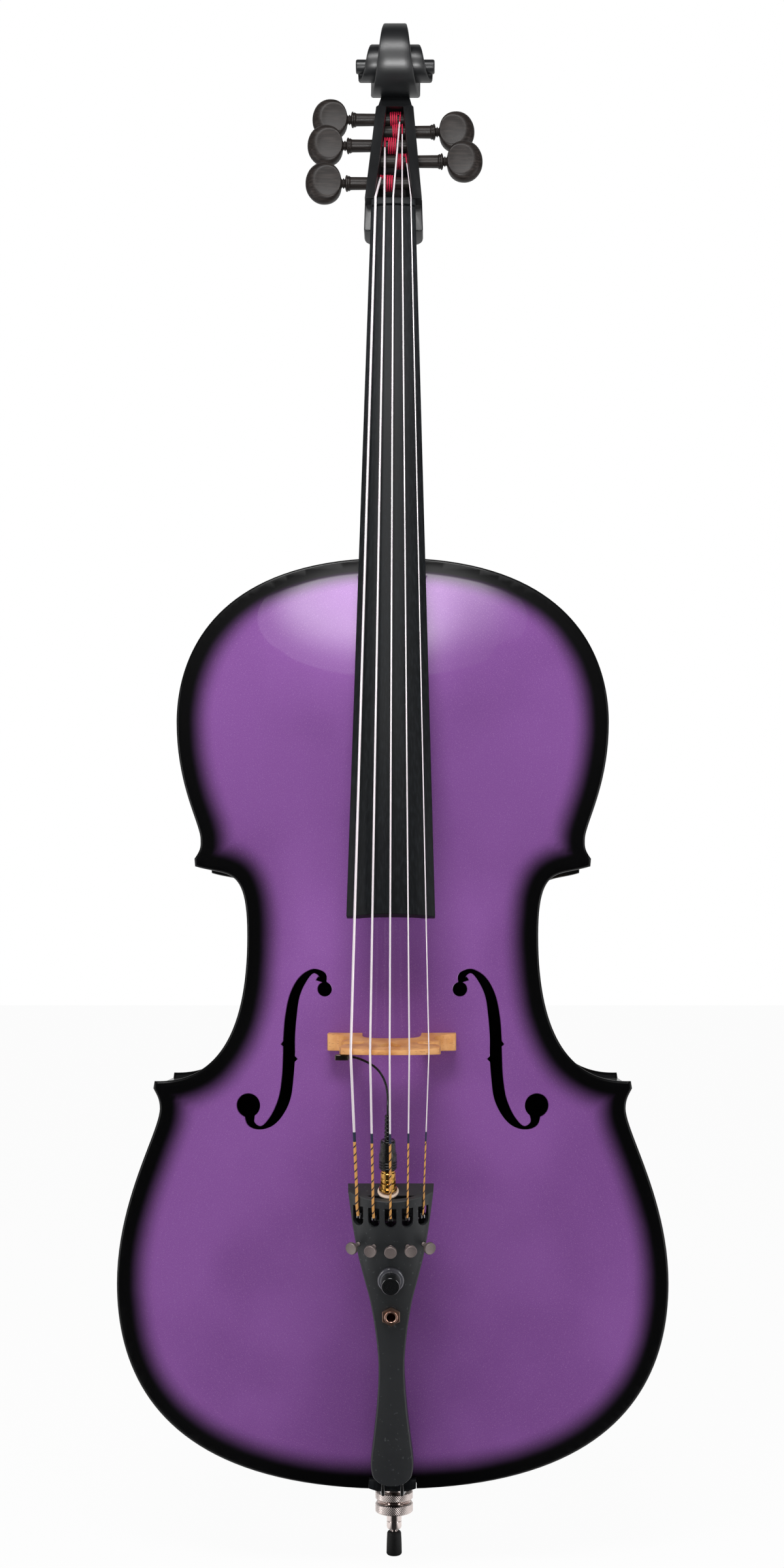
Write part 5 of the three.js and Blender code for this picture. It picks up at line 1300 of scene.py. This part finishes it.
def winding_start(i):
    """Where a winding starts along its peg, and its pitch."""
    _, height, _, _, share, wind = peg_rows[i]
    return share * mix(cavity_wide, cavity_narrow, height), (silk_diameters[i] + 0.5) * wind


def winding(i):
    x, pitch = winding_start(i)
    steps, turns = 24, 4
    line = [on_peg(i, x + pitch, 0, -silk_diameters[i])]
    for k in range(turns * steps + 1):
        line.append(on_peg(i, x + pitch * (1 + k / steps), k / steps * 2 * math.pi, 0))
    line.append(on_peg(i, x + pitch * (1 + turns), 0, silk_diameters[i]))
    return sweep(line, silk_diameters[i] / 2, 10)


for i, row in enumerate(peg_rows):
    name, height, side, *_ = row
    set_in = turned_by(0, peg_deep, height * pegbox_length, head_lean)
    if side < 0:
        set_in = set_in @ flip_z
    finished(name, placed(peg(row), set_in, in_head), peg_ebony, rides=name)
    finished(f"{name}_winding", placed(winding(i), in_head), red_silk, rides=name)


# Strings, from peg to tuner

slot_start, slot_length, slot_half = 0.052 * tail_length, 0.064 * tail_length, 4.5
tuner_place, lever_pivot = 0.178 * tail_length, 0.104 * tail_length
knob_place, jack_place = 0.284 * tail_length, 0.408 * tail_length
tuner_angle = math.radians(14.5)
lever_thick, lever_wide, lever_pivot_deep = 2.6, 3.6, 9


def nut_point(i, share):
    x = string_shares[i] * spread_at_nut
    lift = nut_rise + seat_gap + string_diameters[i] / 2
    along = neck_length + seat_gap + share * nut_length
    return in_neck @ Vector((x, crown_drop(x, board_radius) - lift, along))


def bridge_point(i):
    x = string_shares[i] * spread_at_bridge
    seat = seat_gap + string_diameters[i] / 2 + bridge_crown_thick / 7
    rise = bridge_height - crown_drop(x, bridge_crown_radius) + seat
    return in_body @ Vector((x, -edge_half - rise, bridge_place))


def tuner_point(i, over, along):
    angle, radius = tuner_angle * (i - 2), tail_radius + over
    return in_tail @ Vector((radius * math.sin(angle), tail_radius - radius * math.cos(angle), -along))


def even(line, pitch):
    """The same line with points no further apart than a pitch."""
    fine = [line[0]]
    for a, b in zip(line, line[1:]):
        steps = max(1, math.ceil((b - a).length / pitch))
        fine += [a.lerp(b, k / steps) for k in range(1, steps + 1)]
    return fine


def string(i):
    """Red silk at the peg, bare wire over the nut and bridge, then navy and amber silk to the tuner."""
    x, _ = winding_start(i)
    thin, bare = silk_diameters[i] / 2, string_diameters[i] / 2
    silk_size = bare + 0.2
    wrap = [in_head @ on_peg(i, x, share * math.pi, 0) for share in np.linspace(0.4, 0, 10)]
    crown = bridge_point(i)
    edge = tuner_point(i, silk_size + seat_gap, 0)
    rim = tuner_point(i, silk_size + seat_gap, slot_start - 1)
    hook = tuner_point(i, silk_size - lever_thick / 2, lever_pivot - 2 * lever_thick)
    to_nut = nut_point(i, 1)
    red_end = wrap[-1].lerp(to_nut, 0.03 if i == 0 else min(0.3, 14 / (to_nut - wrap[-1]).length))
    navy_end = crown.lerp(edge, 0.57)
    amber_start = crown.lerp(edge, 0.64)
    bare_start = red_end.lerp(to_nut, 0.02)
    runs = [
        (1, even([*wrap, red_end], 1.2), thin),
        (0, even([red_end, bare_start], 1), thin),
        (0, even([bare_start, to_nut, nut_point(i, 0), crown, navy_end], 12), bare),
        (2, even([navy_end.lerp(amber_start, 0.03), amber_start], 1), silk_size),
        (3, even([amber_start, edge, rim, hook], 0.7), silk_size),
    ]
    line, sizes, marks = [], [], []
    for finish, points, size in runs:
        for point in points:
            if line and (point - line[-1]).length < 0.05:
                continue
            line.append(point)
            sizes.append(size)
            marks.append(finish)
    bm = sweep(line, sizes, 10)
    lay = bm.verts.layers.float_vector["lay"]
    run = np.cumsum([0] + [(b - a).length for a, b in zip(line, line[1:])])
    for face in bm.faces:
        along = max(v[lay].z for v in face.verts)
        face.material_index = marks[min(int(np.searchsorted(run, along - 1e-3)), len(marks) - 1)]
    return bm


string_finishes = [string_metal, red_silk, navy_silk, amber_silk]
for i in range(5):
    finished(f"string_{i + 1}", string(i), string_finishes)


# Bridge and pickup

bridge_side_rows = [
    (0.755, 0.83), (0.735, 0.76), (0.7, 0.7), (0.5, 0.685), (0.4, 0.635), (0.42, 0.565), (0.55, 0.555),
    (0.7, 0.565), (0.75, 0.51), (0.68, 0.45), (0.66, 0.36), (0.72, 0.26), (0.83, 0.19), (0.98, 0.165),
    (1, 0.13)]
bridge_foot_rows = [(1, -0.4), (0.46, -0.4)]
bridge_arch_rows = [(0.46, 0.1), (0.445, 0.24), (0.4, 0.32), (0.28, 0.365), (0, 0.385)]
bridge_heart_rows = [(0, 0.79), (0.09, 0.83), (0.16, 0.8), (0.16, 0.74), (0.09, 0.67), (0, 0.585)]


def flat_line(rows, steps=5):
    return [(p.x, p.y) for p in through([(x, y, 0) for x, y in rows], steps)]


def both_sides(right):
    return right + [(-x, y) for x, y in reversed(right) if abs(x) > 1e-6]


def arched_front(lift, reach):
    """A block whose front follows the plate's arch, to fit the bridge's feet."""
    rows = [bridge_place + z for z in np.linspace(-30, 30, 7)]
    places = np.linspace(-reach, reach, 41)
    rings = []
    for z in rows:
        arc = [Vector((x, -outer_face(x, z) - lift, z)) for x in places]
        rings.append([Vector((-reach, 0, z)), *arc, Vector((reach, 0, z))])
    return loft(rings)


def bridge():
    half, foot = bridge_span / 2, outer_face(0, bridge_place)
    tall = edge_half + bridge_height - foot
    places = np.linspace(0, bridge_crown_half - 1.5, 16)
    crown = [(x, tall - crown_drop(x, bridge_crown_radius)) for x in places]
    sides = flat_line([(x * half, y * tall) for x, y in bridge_side_rows])
    legs = [(x * half, y * tall) for x, y in bridge_foot_rows]
    arch = flat_line([(x * half, y * tall) for x, y in bridge_arch_rows])
    outline = both_sides(crown + sides + legs + arch)
    low, high = bridge_place - bridge_crown_thick / 2, bridge_place + bridge_foot_reach
    blank_wood = prism([(x, -foot - y) for x, y in outline], low, high, plane="xy")
    front = -foot - tall - 1
    slant = [(front, bridge_place + bridge_crown_thick / 2), (-foot - 0.12 * tall, high)]
    wedge = prism([(front, low - 1), *slant, (0, high), (0, low - 1)], -100, 100, plane="yz")
    wood = carved(blank_wood, wedge, operation="INTERSECT")
    heart = both_sides(flat_line([(x * half, y * tall) for x, y in bridge_heart_rows]))
    hole = prism([(x, -foot - y) for x, y in heart], bridge_place - 20, bridge_place + 30, plane="xy")
    cuts, reach = [arched_front(seat_gap, 60), hole], Vector((0, 0, 4))
    for i in range(5):
        at = in_body.inverted() @ bridge_point(i)
        cuts.append(sweep([at - reach, at + reach], string_diameters[i] / 2 + 0.35, 12))
    wood = carved(wood, *cuts)
    bmesh.ops.remove_doubles(wood, verts=wood.verts, dist=0.02)
    return softened(wood, 0.5, angle=55, segments=2)


def pickup():
    """A small case with a raised lid, and a bushing where the lead comes out."""
    w, t, h, rim = pickup_width / 2, pickup_thick / 2, pickup_tall / 2, 1.6
    case = softened(block(-w, w, -h, h, -t, t), 0.8, segments=3)
    lid = softened(block(-w + rim, w - rim, -h + rim, h - rim, -t, -t + 0.4), 0.2)
    bmesh.ops.translate(lid, verts=lid.verts, vec=(0, 0, -0.1))
    profile = [(0, w - 0.4), (1.5, w - 0.4), (1.5, w + 0.15), (1.1, w + 0.25), (0, w + 0.25)]
    bushing = placed(turned(profile, sides=24, ease=0.1), to_x)
    return placed(joined(case, lid, bushing), Matrix.Translation(pickup_centre))


finished("bridge", placed(bridge(), in_body), bridge_maple)
finished("pickup", placed(pickup(), in_body), pickup_metal)


# Tailpiece

tail_width_rows = [(0, 1), (0.116, 0.892), (0.21, 0.775), (0.29, 0.631), (0.37, 0.483), (0.478, 0.363),
                   (0.57, 0.308), (0.635, 0.312), (0.74, 0.363), (0.847, 0.447), (0.93, 0.51), (0.965, 0.48),
                   (0.988, 0.36), (1, 0.16)]
tail_deep, tail_thin, tail_wall = 21, 13, 3.5
end_slant, end_drop = 0.357, 7.5
gut_half, gut_deep, gut_radius = 7.7, 0.62 * tail_thin, 1.5
smooth_tail = [(p.x, p.y) for p in through([(s, w, 0) for s, w in tail_width_rows], 6)]


def tail_half_at(along):
    return tail_half * read_off(smooth_tail, along / tail_length)


def tail_ring(along, wall, bottom, steps=24):
    half, radius = tail_half_at(along) - wall, tail_radius - wall
    curve = 0 if wall else min(1.6, half * 0.3)
    places = np.linspace(-(half - curve), half - curve, steps + 1)
    ring = [Vector((x, tail_radius - math.sqrt(radius ** 2 - x ** 2), -along)) for x in places]
    if curve:
        low = ring[-1].y
        edge = [Vector((half - curve * (1 - math.sin(a)), low + curve * (1 - math.cos(a)), -along))
                for a in np.radians([25, 50, 75, 90])]
        ring = [*[Vector((-p.x, p.y, p.z)) for p in reversed(edge)], *ring, *edge]
    return [*ring, Vector((half, bottom, -along)), Vector((-half, bottom, -along))]


def in_tuner(i):
    """Turns a piece from the tailpiece's middle to a string's own line on the curved face."""
    centre = Matrix.Translation((0, tail_radius, 0))
    return centre @ Matrix.Rotation(tuner_angle * (i - 2), 4, "Z") @ centre.inverted()


def slot_tool(i):
    """A round-ended slot, wider at its mouth where the front edge is broken."""
    def ring(half, y):
        top, low = -slot_start + (half - slot_half), -slot_start - slot_length + slot_half
        angles = np.linspace(math.pi, 2 * math.pi, 19)
        arc = [Vector((half * math.cos(a), y, low + half * math.sin(a))) for a in angles]
        return [*arc, Vector((half, y, top)), Vector((-half, y, top))]

    mouth = slot_half + 0.9
    rings = [ring(mouth, -4), ring(mouth, -0.9), ring(slot_half, 0.0), ring(slot_half, tail_wall + 1)]
    return placed(loft(rings), in_tuner(i))


def tailpiece():
    """A hollow shell cut for slots, screws, jacks and cord, with webs for the levers' pins and a dark sheet
    under the slots, painted shade that hides the plate seen through them.
    """
    shares = [s for s, _ in smooth_tail]
    body = loft([tail_ring(s * tail_length, 0, mix(tail_deep, tail_thin, math.sqrt(s))) for s in shares])
    hollow_shares = (0.116, 0.16, 0.21, 0.25, 0.29, 0.33, 0.37, 0.43, 0.488)
    inside = [tail_wall * 1.4, *[s * tail_length for s in hollow_shares]]
    hollow = loft([tail_ring(along, tail_wall, tail_deep + 1) for along in inside])
    cuts = [hollow, placed(rod(5, -10.5, 1), in_jack)]
    for radius, along in ((3.9, knob_place), (5.6, jack_place)):
        cuts.append(placed(rod(radius, -13, 13), to_y, Matrix.Translation((0, 0, -along))))
    for side in (-1, 1):
        cuts.append(placed(rod(gut_radius + seat_gap, -2 * tail_length, 0, 24),
                           Matrix.Translation((side * gut_half, gut_deep, 18 - tail_length))))
    for i in range(5):
        cuts.append(slot_tool(i))
        cuts.append(placed(rod(2.05, -7, 7, 24), to_y, Matrix.Translation((0, 0, -tuner_place)), in_tuner(i)))

    def on_slant(edge):
        """Whether an edge lies round the slanted end face."""
        return all(v.co.z > -9.5 and abs(v.co.z + (tail_deep - v.co.y) * end_slant) < 0.3 for v in edge.verts)

    slant = prism([(-10, -end_drop - 10 * end_slant), (-10, 9), (30, 9), (30, 9 * end_slant), (tail_deep, 0)],
                  -60, 60, plane="yz")
    body = softened(carved(body, slant), 0.9, segments=3, angle=30, chosen=on_slant)
    body = carved(body, *cuts)
    # Painted shade: a dark sheet under the slots, so that they show dark instead of the top plate below them.
    shade_sheet_and_webs = [block(-26, 26, 15.4, 16.6, -38, -8)]
    for i in range(6):
        web = block(-1, 1, tail_wall - 1, lever_pivot_deep + 3, -lever_pivot - 3, -lever_pivot + 3)
        shade_sheet_and_webs.append(placed(softened(web, 0.3), in_tuner(i - 0.5)))
    return joined(body, *shade_sheet_and_webs)


finished("tailpiece", placed(tailpiece(), in_tail), tail_black)


# What the tailpiece carries

def lever():
    """A bent arm on a cross pin, with a forked hook that holds the string's ball."""
    near, far = lever_pivot - 2 * lever_thick, tuner_place + 2.3
    low, heel = lever_pivot_deep + lever_thick / 2, -near + lever_thick / 3
    outline = [(0.4, -near), (0.4, -near - lever_thick), (low - lever_thick, -near - 1.6 * lever_thick),
               (low - lever_thick, -far), (low, -far), (low, heel), (lever_pivot_deep / 2, heel)]
    arm = softened(prism(outline, -lever_wide / 2, lever_wide / 2, plane="yz"), 0.45)
    notch = block(-0.85, 0.85, -1, lever_pivot_deep / 3, -near - 2 * lever_thick, -near + lever_thick)
    pin_half = (tail_radius - lever_pivot_deep) * math.sin(tuner_angle / 2) - 0.4
    pin = placed(rod(1.5, -pin_half, pin_half, 20, 0.3), to_x,
                 Matrix.Translation((0, lever_pivot_deep, -lever_pivot)))
    return joined(carved(arm, notch), pin)


def screw():
    """A disc head with a turned face and coined rim on a threaded shank."""
    tip, head, under = lever_pivot_deep - lever_thick / 2 - seat_gap, -11.5, -8.3
    shank, root, pitch = 1.75, 1.45, 0.8
    profile = [(0, head + 0.3), (0.8, head + 0.3), (3.9, head + 0.15), (4.3, head), (4.8, head + 0.5),
               (4.8, under - 0.5), (4.3, under), (2.4, under), (2.4, under + 1.2), (shank, under + 1.6),
               (shank, -2)]
    for k in range(int((tip + 1) / pitch)):
        z = -2 + k * pitch
        profile += [(shank, z + 0.1), (root, z + 0.4)]
    profile += [(shank, tip - 0.6), (1.0, tip), (0, tip)]
    bm = turned(profile, sides=60, ease=0.12)
    rim = [f for f in bm.faces if abs(f.normal.z) < 0.2 and all(v.co.xy.length > 4.7 for v in f.verts)]
    bmesh.ops.inset_individual(bm, faces=rim, thickness=0.07, depth=-0.1)
    return placed(bm, to_y, Matrix.Translation((0, 0, -tuner_place)))


for i in range(5):
    for name, shape, finish, slot in ((f"tuner_lever_{i + 1}", lever(), steel, "plain_steel"),
                                      (f"tuner_screw_{i + 1}", screw(), tuner_nickel, "dark_nickel")):
        finished(name, placed(shape, in_tuner(i), in_tail), finish, rides=name)


def volume_knob():
    """A cap with a softly dished top on a wider skirt."""
    skirt, grip = -4.3, -15
    profile = [(0, grip + 0.35), (5.6, grip + 0.25), (6.5, grip + 0.05), (7.3, grip + 0.7),
               (7.45, skirt - 0.9), (7.9, skirt - 0.1), (9.4, skirt + 0.1), (10.3, skirt + 0.9),
               (10.3, -1.1), (9.9, -0.9), (9.9, -seat_gap), (2, -seat_gap), (2, tail_wall), (0, tail_wall)]
    return placed(turned(profile, sides=72, ease=0.35), to_y, Matrix.Translation((0, 0, -knob_place)))


def output_jack():
    """A bush with a rolled lip and an open bore, its hexagon nut, and the barrel behind."""
    barrel, bore, lip, deep = 6.4, 3.7, -4.0, 27
    shoulder = tail_wall + crown_drop(barrel, tail_radius - tail_wall) + seat_gap
    profile = [(bore, lip + 0.4), (4.1, lip), (4.9, lip), (5.3, lip + 0.5), (5.3, shoulder),
               (barrel, shoulder), (barrel, deep), (0, deep), (0, deep - 1), (bore, deep - 1),
               (bore, lip + 0.4)]
    bush = placed(turned(profile, sides=56, ease=0.2), to_y)
    hexagon = [(7.9 * math.sin(k * math.pi / 3), 7.9 * math.cos(k * math.pi / 3)) for k in range(6)]
    hexagon_nut = carved(prism(hexagon, -2.7, -seat_gap), placed(rod(4.6, -5, 2, 40), to_y))
    softened(hexagon_nut, 0.35, angle=30)
    return placed(joined(bush, hexagon_nut), Matrix.Translation((0, 0, -jack_place)))


def input_jack():
    """A bush and its round nut, on a pale washer that lies on the slanted end face."""
    profile = [(0, -7), (4.7, -7), (4.7, -2.2), (6.6, -2.2), (7.1, -1.7), (7.1, 0.2), (6.3, 0.6), (6.3, 1.0),
               (6.0, 1.2), (6.0, 4.3), (2, 4.3), (2, -4.7), (0, -4.7)]
    ring = [(4.9, 0), (8.2, 0), (8.2, 1.1), (7.9, 1.4), (4.9, 1.4), (4.9, 0)]
    washer = placed(turned(ring, sides=56, ease=0.1), Matrix.Rotation(math.atan(end_slant), 4, "X"),
                    Matrix.Translation((0, 0, -3.6)))
    for face in washer.faces:
        face.material_index = 1
    return placed(joined(turned(profile, sides=56, ease=0.25), washer), in_jack)


def plug_shell():
    """The plug's pin and its collar with one groove."""
    profile = [(0, -3.4), (1.7, -3.4), (1.7, 4.6), (5.6, 4.6), (6.0, 5.2), (6.0, 7.6), (5.7, 7.9), (5.7, 8.5),
               (6.0, 8.8), (5.9, 12.6), (5.2, 13.2), (5.2, 14.5), (0, 14.5)]
    return placed(turned(profile, sides=56, ease=0.25), in_jack)


def plug_body():
    """A handle with three grooves, a narrower grip and a ribbed strain relief."""
    handle, relief_start, rib_pitch = 7.0, 39, 3.3
    profile = [(0, 14.8), (5.4, 14.8), (6.6, 15.6), (handle, 16.8)]
    for z in (17.2, 19.4, 21.6):
        profile += [(handle, z), (6.4, z + 0.4), (6.4, z + 0.9), (handle, z + 1.3)]
    profile += [(handle, 27.5), (6.3, 29.2), (6.1, 32), (5.9, 37.6), (5.2, 38.8), (3.0, relief_start)]
    for k in range(6):
        z = relief_start + k * rib_pitch
        size = mix(2.8, 2.3, k / 5)
        profile += [(0.8 * size, z + 0.5), (0.8 * size, z + 1.2), (size, z + 1.5), (size, z + 3.1)]
    profile += [(1.6, relief_end), (0, relief_end)]
    return placed(turned(profile, sides=48, ease=0.3), in_jack)


finished("volume_knob", placed(volume_knob(), in_tail), knob_black, rides="volume_knob")
finished("output_jack", placed(output_jack(), in_tail), rose_gold)
finished("input_jack", placed(input_jack(), in_tail), [gold, washer_cream])
finished("plug_shell", placed(plug_shell(), in_tail), gold)
finished("plug_body", placed(plug_body(), in_tail), cord_black)


endpin_neck_radius, endpin_neck_length, endpin_flange = 11, 18.3, 2.7


def tail_gut():
    """One cord: out of the tailpiece, over the saddle and round the endpin's neck."""
    clear = gut_radius + seat_gap
    crest, loop = -edge_half - saddle_tall - clear, endpin_neck_radius + clear
    to_body = in_body.inverted() @ in_tail

    def strand(side):
        hole = [to_body @ Vector((side * gut_half, gut_deep, up - tail_length)) for up in (12, -1)]
        bend = [(gut_half, crest, 7), (gut_half, crest, 3), (gut_half, crest + 3, -clear),
                (gut_half * 1.15, -rib_half + clear, -2 * clear)]
        return hole + [Vector((side * x, y, z)) for x, y, z in bend]

    up = edge_overhang - seat_gap - endpin_flange - 0.6 * endpin_neck_length
    turn = [Vector((-loop * math.cos(a), loop * math.sin(a), up)) for a in np.linspace(0, math.pi, 13)]
    return sweep([*strand(-1), *turn, *reversed(strand(1))], gut_radius, 12)


finished("tail_gut", placed(tail_gut(), in_body), cord_black)


# Endpin, in the model's own frame

def endpin_tip():
    profile = [(0, 0), (5.2, 0), (6.5, 1.3), (6.35, 9), (6.2, 13.5), (5.9, 18.6), (5.3, 20),
               (3.5, 20), (3.5, 8), (0, 8)]
    return turned(profile, sides=56, ease=0.6)


def endpin_rod():
    profile = [(0, 8.3), (3.15, 8.3), (3.15, 20.6), (2.7, 20.9), (2.7, 21.6), (3.15, 21.9), (3.15, 22.2),
               (4.7, 23.2), (4.7, 452.2), (0, 452.2)]
    return turned(profile, sides=56)


def endpin_clamp():
    profile = [(5, 22.2), (5.2, 22.2), (5.9, 22.8), (6.3, 24.2), (6.3, 28.6), (6.0, 28.9), (6.0, 29.5),
               (6.3, 29.8), (6.3, 36.2), (14.6, 36.2), (15.8, 37.3), (15.8, 43.8), (14.6, 45.3), (9.3, 45.3),
               (9.3, 40.7), (5, 40.7), (5, 22.2)]
    return turned(profile, sides=96, ease=0.5)


def endpin_socket():
    profile = [(5, 41), (9, 41), (9, 47), (14.6, 47), (15.8, 48.2), (15.8, 53.6), (14.8, 54.7),
               (endpin_neck_radius, 54.7), (endpin_neck_radius, 73), (14.5, 73), (14.5, 75.7),
               (socket_radius, 75.7), (socket_radius, 117.7), (5, 117.7), (5, 41)]
    return turned(profile, sides=96, ease=0.5)


finished("endpin_tip", endpin_tip(), tip_rubber, rides="endpin")
finished("endpin_rod", endpin_rod(), nickel, rides="endpin")
finished("endpin_clamp", endpin_clamp(), nickel, rides="endpin_clamp")
finished("endpin_socket", endpin_socket(), nickel)


# The solids that stay as they are, inside the body and the tailpiece

for name, node in cad.items():
    if "block" in name or name in ("bass_bar", "sound_post", "volume_pot"):
        finish = steel if name == "volume_pot" else bare_spruce
        for place in node.material_slots:
            place.material = finish.material


# Floor, light and background

def white_room():
    """White for the camera and glass; for gloss, pale behind the cello and dark in front of it."""
    world = bpy.data.worlds.new("room")
    world.use_nodes = True
    room = Finish.of(world.node_tree, "ShaderNodeOutputWorld")
    _, front, up = room.axes(room.node("ShaderNodeTexCoord", out="Generated"))
    camera_ray, glossy, glass = room.rays()
    gloss = front.ease(0.1, 0.5) * 0.5 + 0.03
    soft = 0.16 + up * 0.08
    light = room.mixed(camera_ray, room.mixed(glossy, room.mixed(glass, soft, 1.0), gloss), 1.0)
    room.show(room.node("ShaderNodeBackground", None, {"Color": (1, 1, 1, 1), "Strength": light}))
    bpy.context.scene.world = world


def floor():
    """A white floor that keeps the cello's shadow; gloss sees a dark wedge of it before the cello."""
    bm = bmesh.new()
    bmesh.ops.create_grid(bm, x_segments=1, y_segments=1, size=20)
    piece = linked("floor", mesh_of(bm, "floor"))
    f = Finish("floor_white", roughness=0.9)
    f.put({"Base Color": f.blend(f.noise(3, detail=2), (0.86, 0.86, 0.86, 1), (0.88, 0.88, 0.88, 1))})
    camera_ray, glossy, glass = f.rays()
    side, front, _ = f.axes(f.place)
    far = (front * -1).ease(0.5, 2)
    wide = (side * side).root() + front * (far * 0.6 + 0.7)
    strength = f.mixed(glossy, 1.0, wide.ease(-0.01, 0.05) * (1 - far * 0.6) + 0.03)
    glow = f.node("ShaderNodeEmission", None, {"Strength": strength})
    share = (camera_ray * 0.96).larger(glossy.larger(glass))
    lit = Field(f, f.shader.outputs[0])
    f.show(f.node("ShaderNodeMixShader", None, {0: share, 1: lit, 2: glow}))
    piece.data.materials.append(f.material)


def lamp(name, place, aim, wide, tall, radiance):
    """A softbox, as bright to look at as its radiance says, whatever its size."""
    light = bpy.data.lights.new(name, "AREA")
    light.shape, light.size, light.size_y = "RECTANGLE", wide, tall
    light.energy = radiance * math.pi * wide * tall
    holder = linked(name, light)
    holder.location = place
    holder.rotation_euler = (Vector(aim) - Vector(place)).to_track_quat("-Z", "Y").to_euler()
    return light


def graded_softbox():
    """The panel whose reflection lies on the upper bout: dim along its lower edge and to the right."""
    light = lamp("front_panel", (-0.03, -1.07, 1.275), (-0.03, 0, 1.275), 0.78, 0.32, 1)
    light.use_nodes = True
    panel = Finish.of(light.node_tree, "ShaderNodeOutputLight")
    side, _, up = panel.axes(panel.node("ShaderNodeNewGeometry", out="Position"))
    strength = (0.5 + up.ease(1.13, 1.28) * 2.9) * (1 - side.ease(0.12, 0.3) * 0.6)
    panel.show(panel.node("ShaderNodeEmission", None, {"Strength": strength}))


white_room()
floor()
graded_softbox()
lamp("key", (-0.15, -1.45, 2.15), (0.03, 0, 0.6), 1.1, 0.5, 17)
lamp("head_light", (0, -0.5, 1.04), (0, -0.33, 1.6), 0.14, 0.16, 55)
lamp("left_box", (-1.7, -1.15, 0.6), (0, 0, 0.5), 0.5, 1.3, 5)
lamp("right_box", (1.7, -1.15, 0.6), (0, 0, 0.5), 0.5, 1.3, 5)

scene = bpy.context.scene
scene.view_settings.view_transform = "Standard"
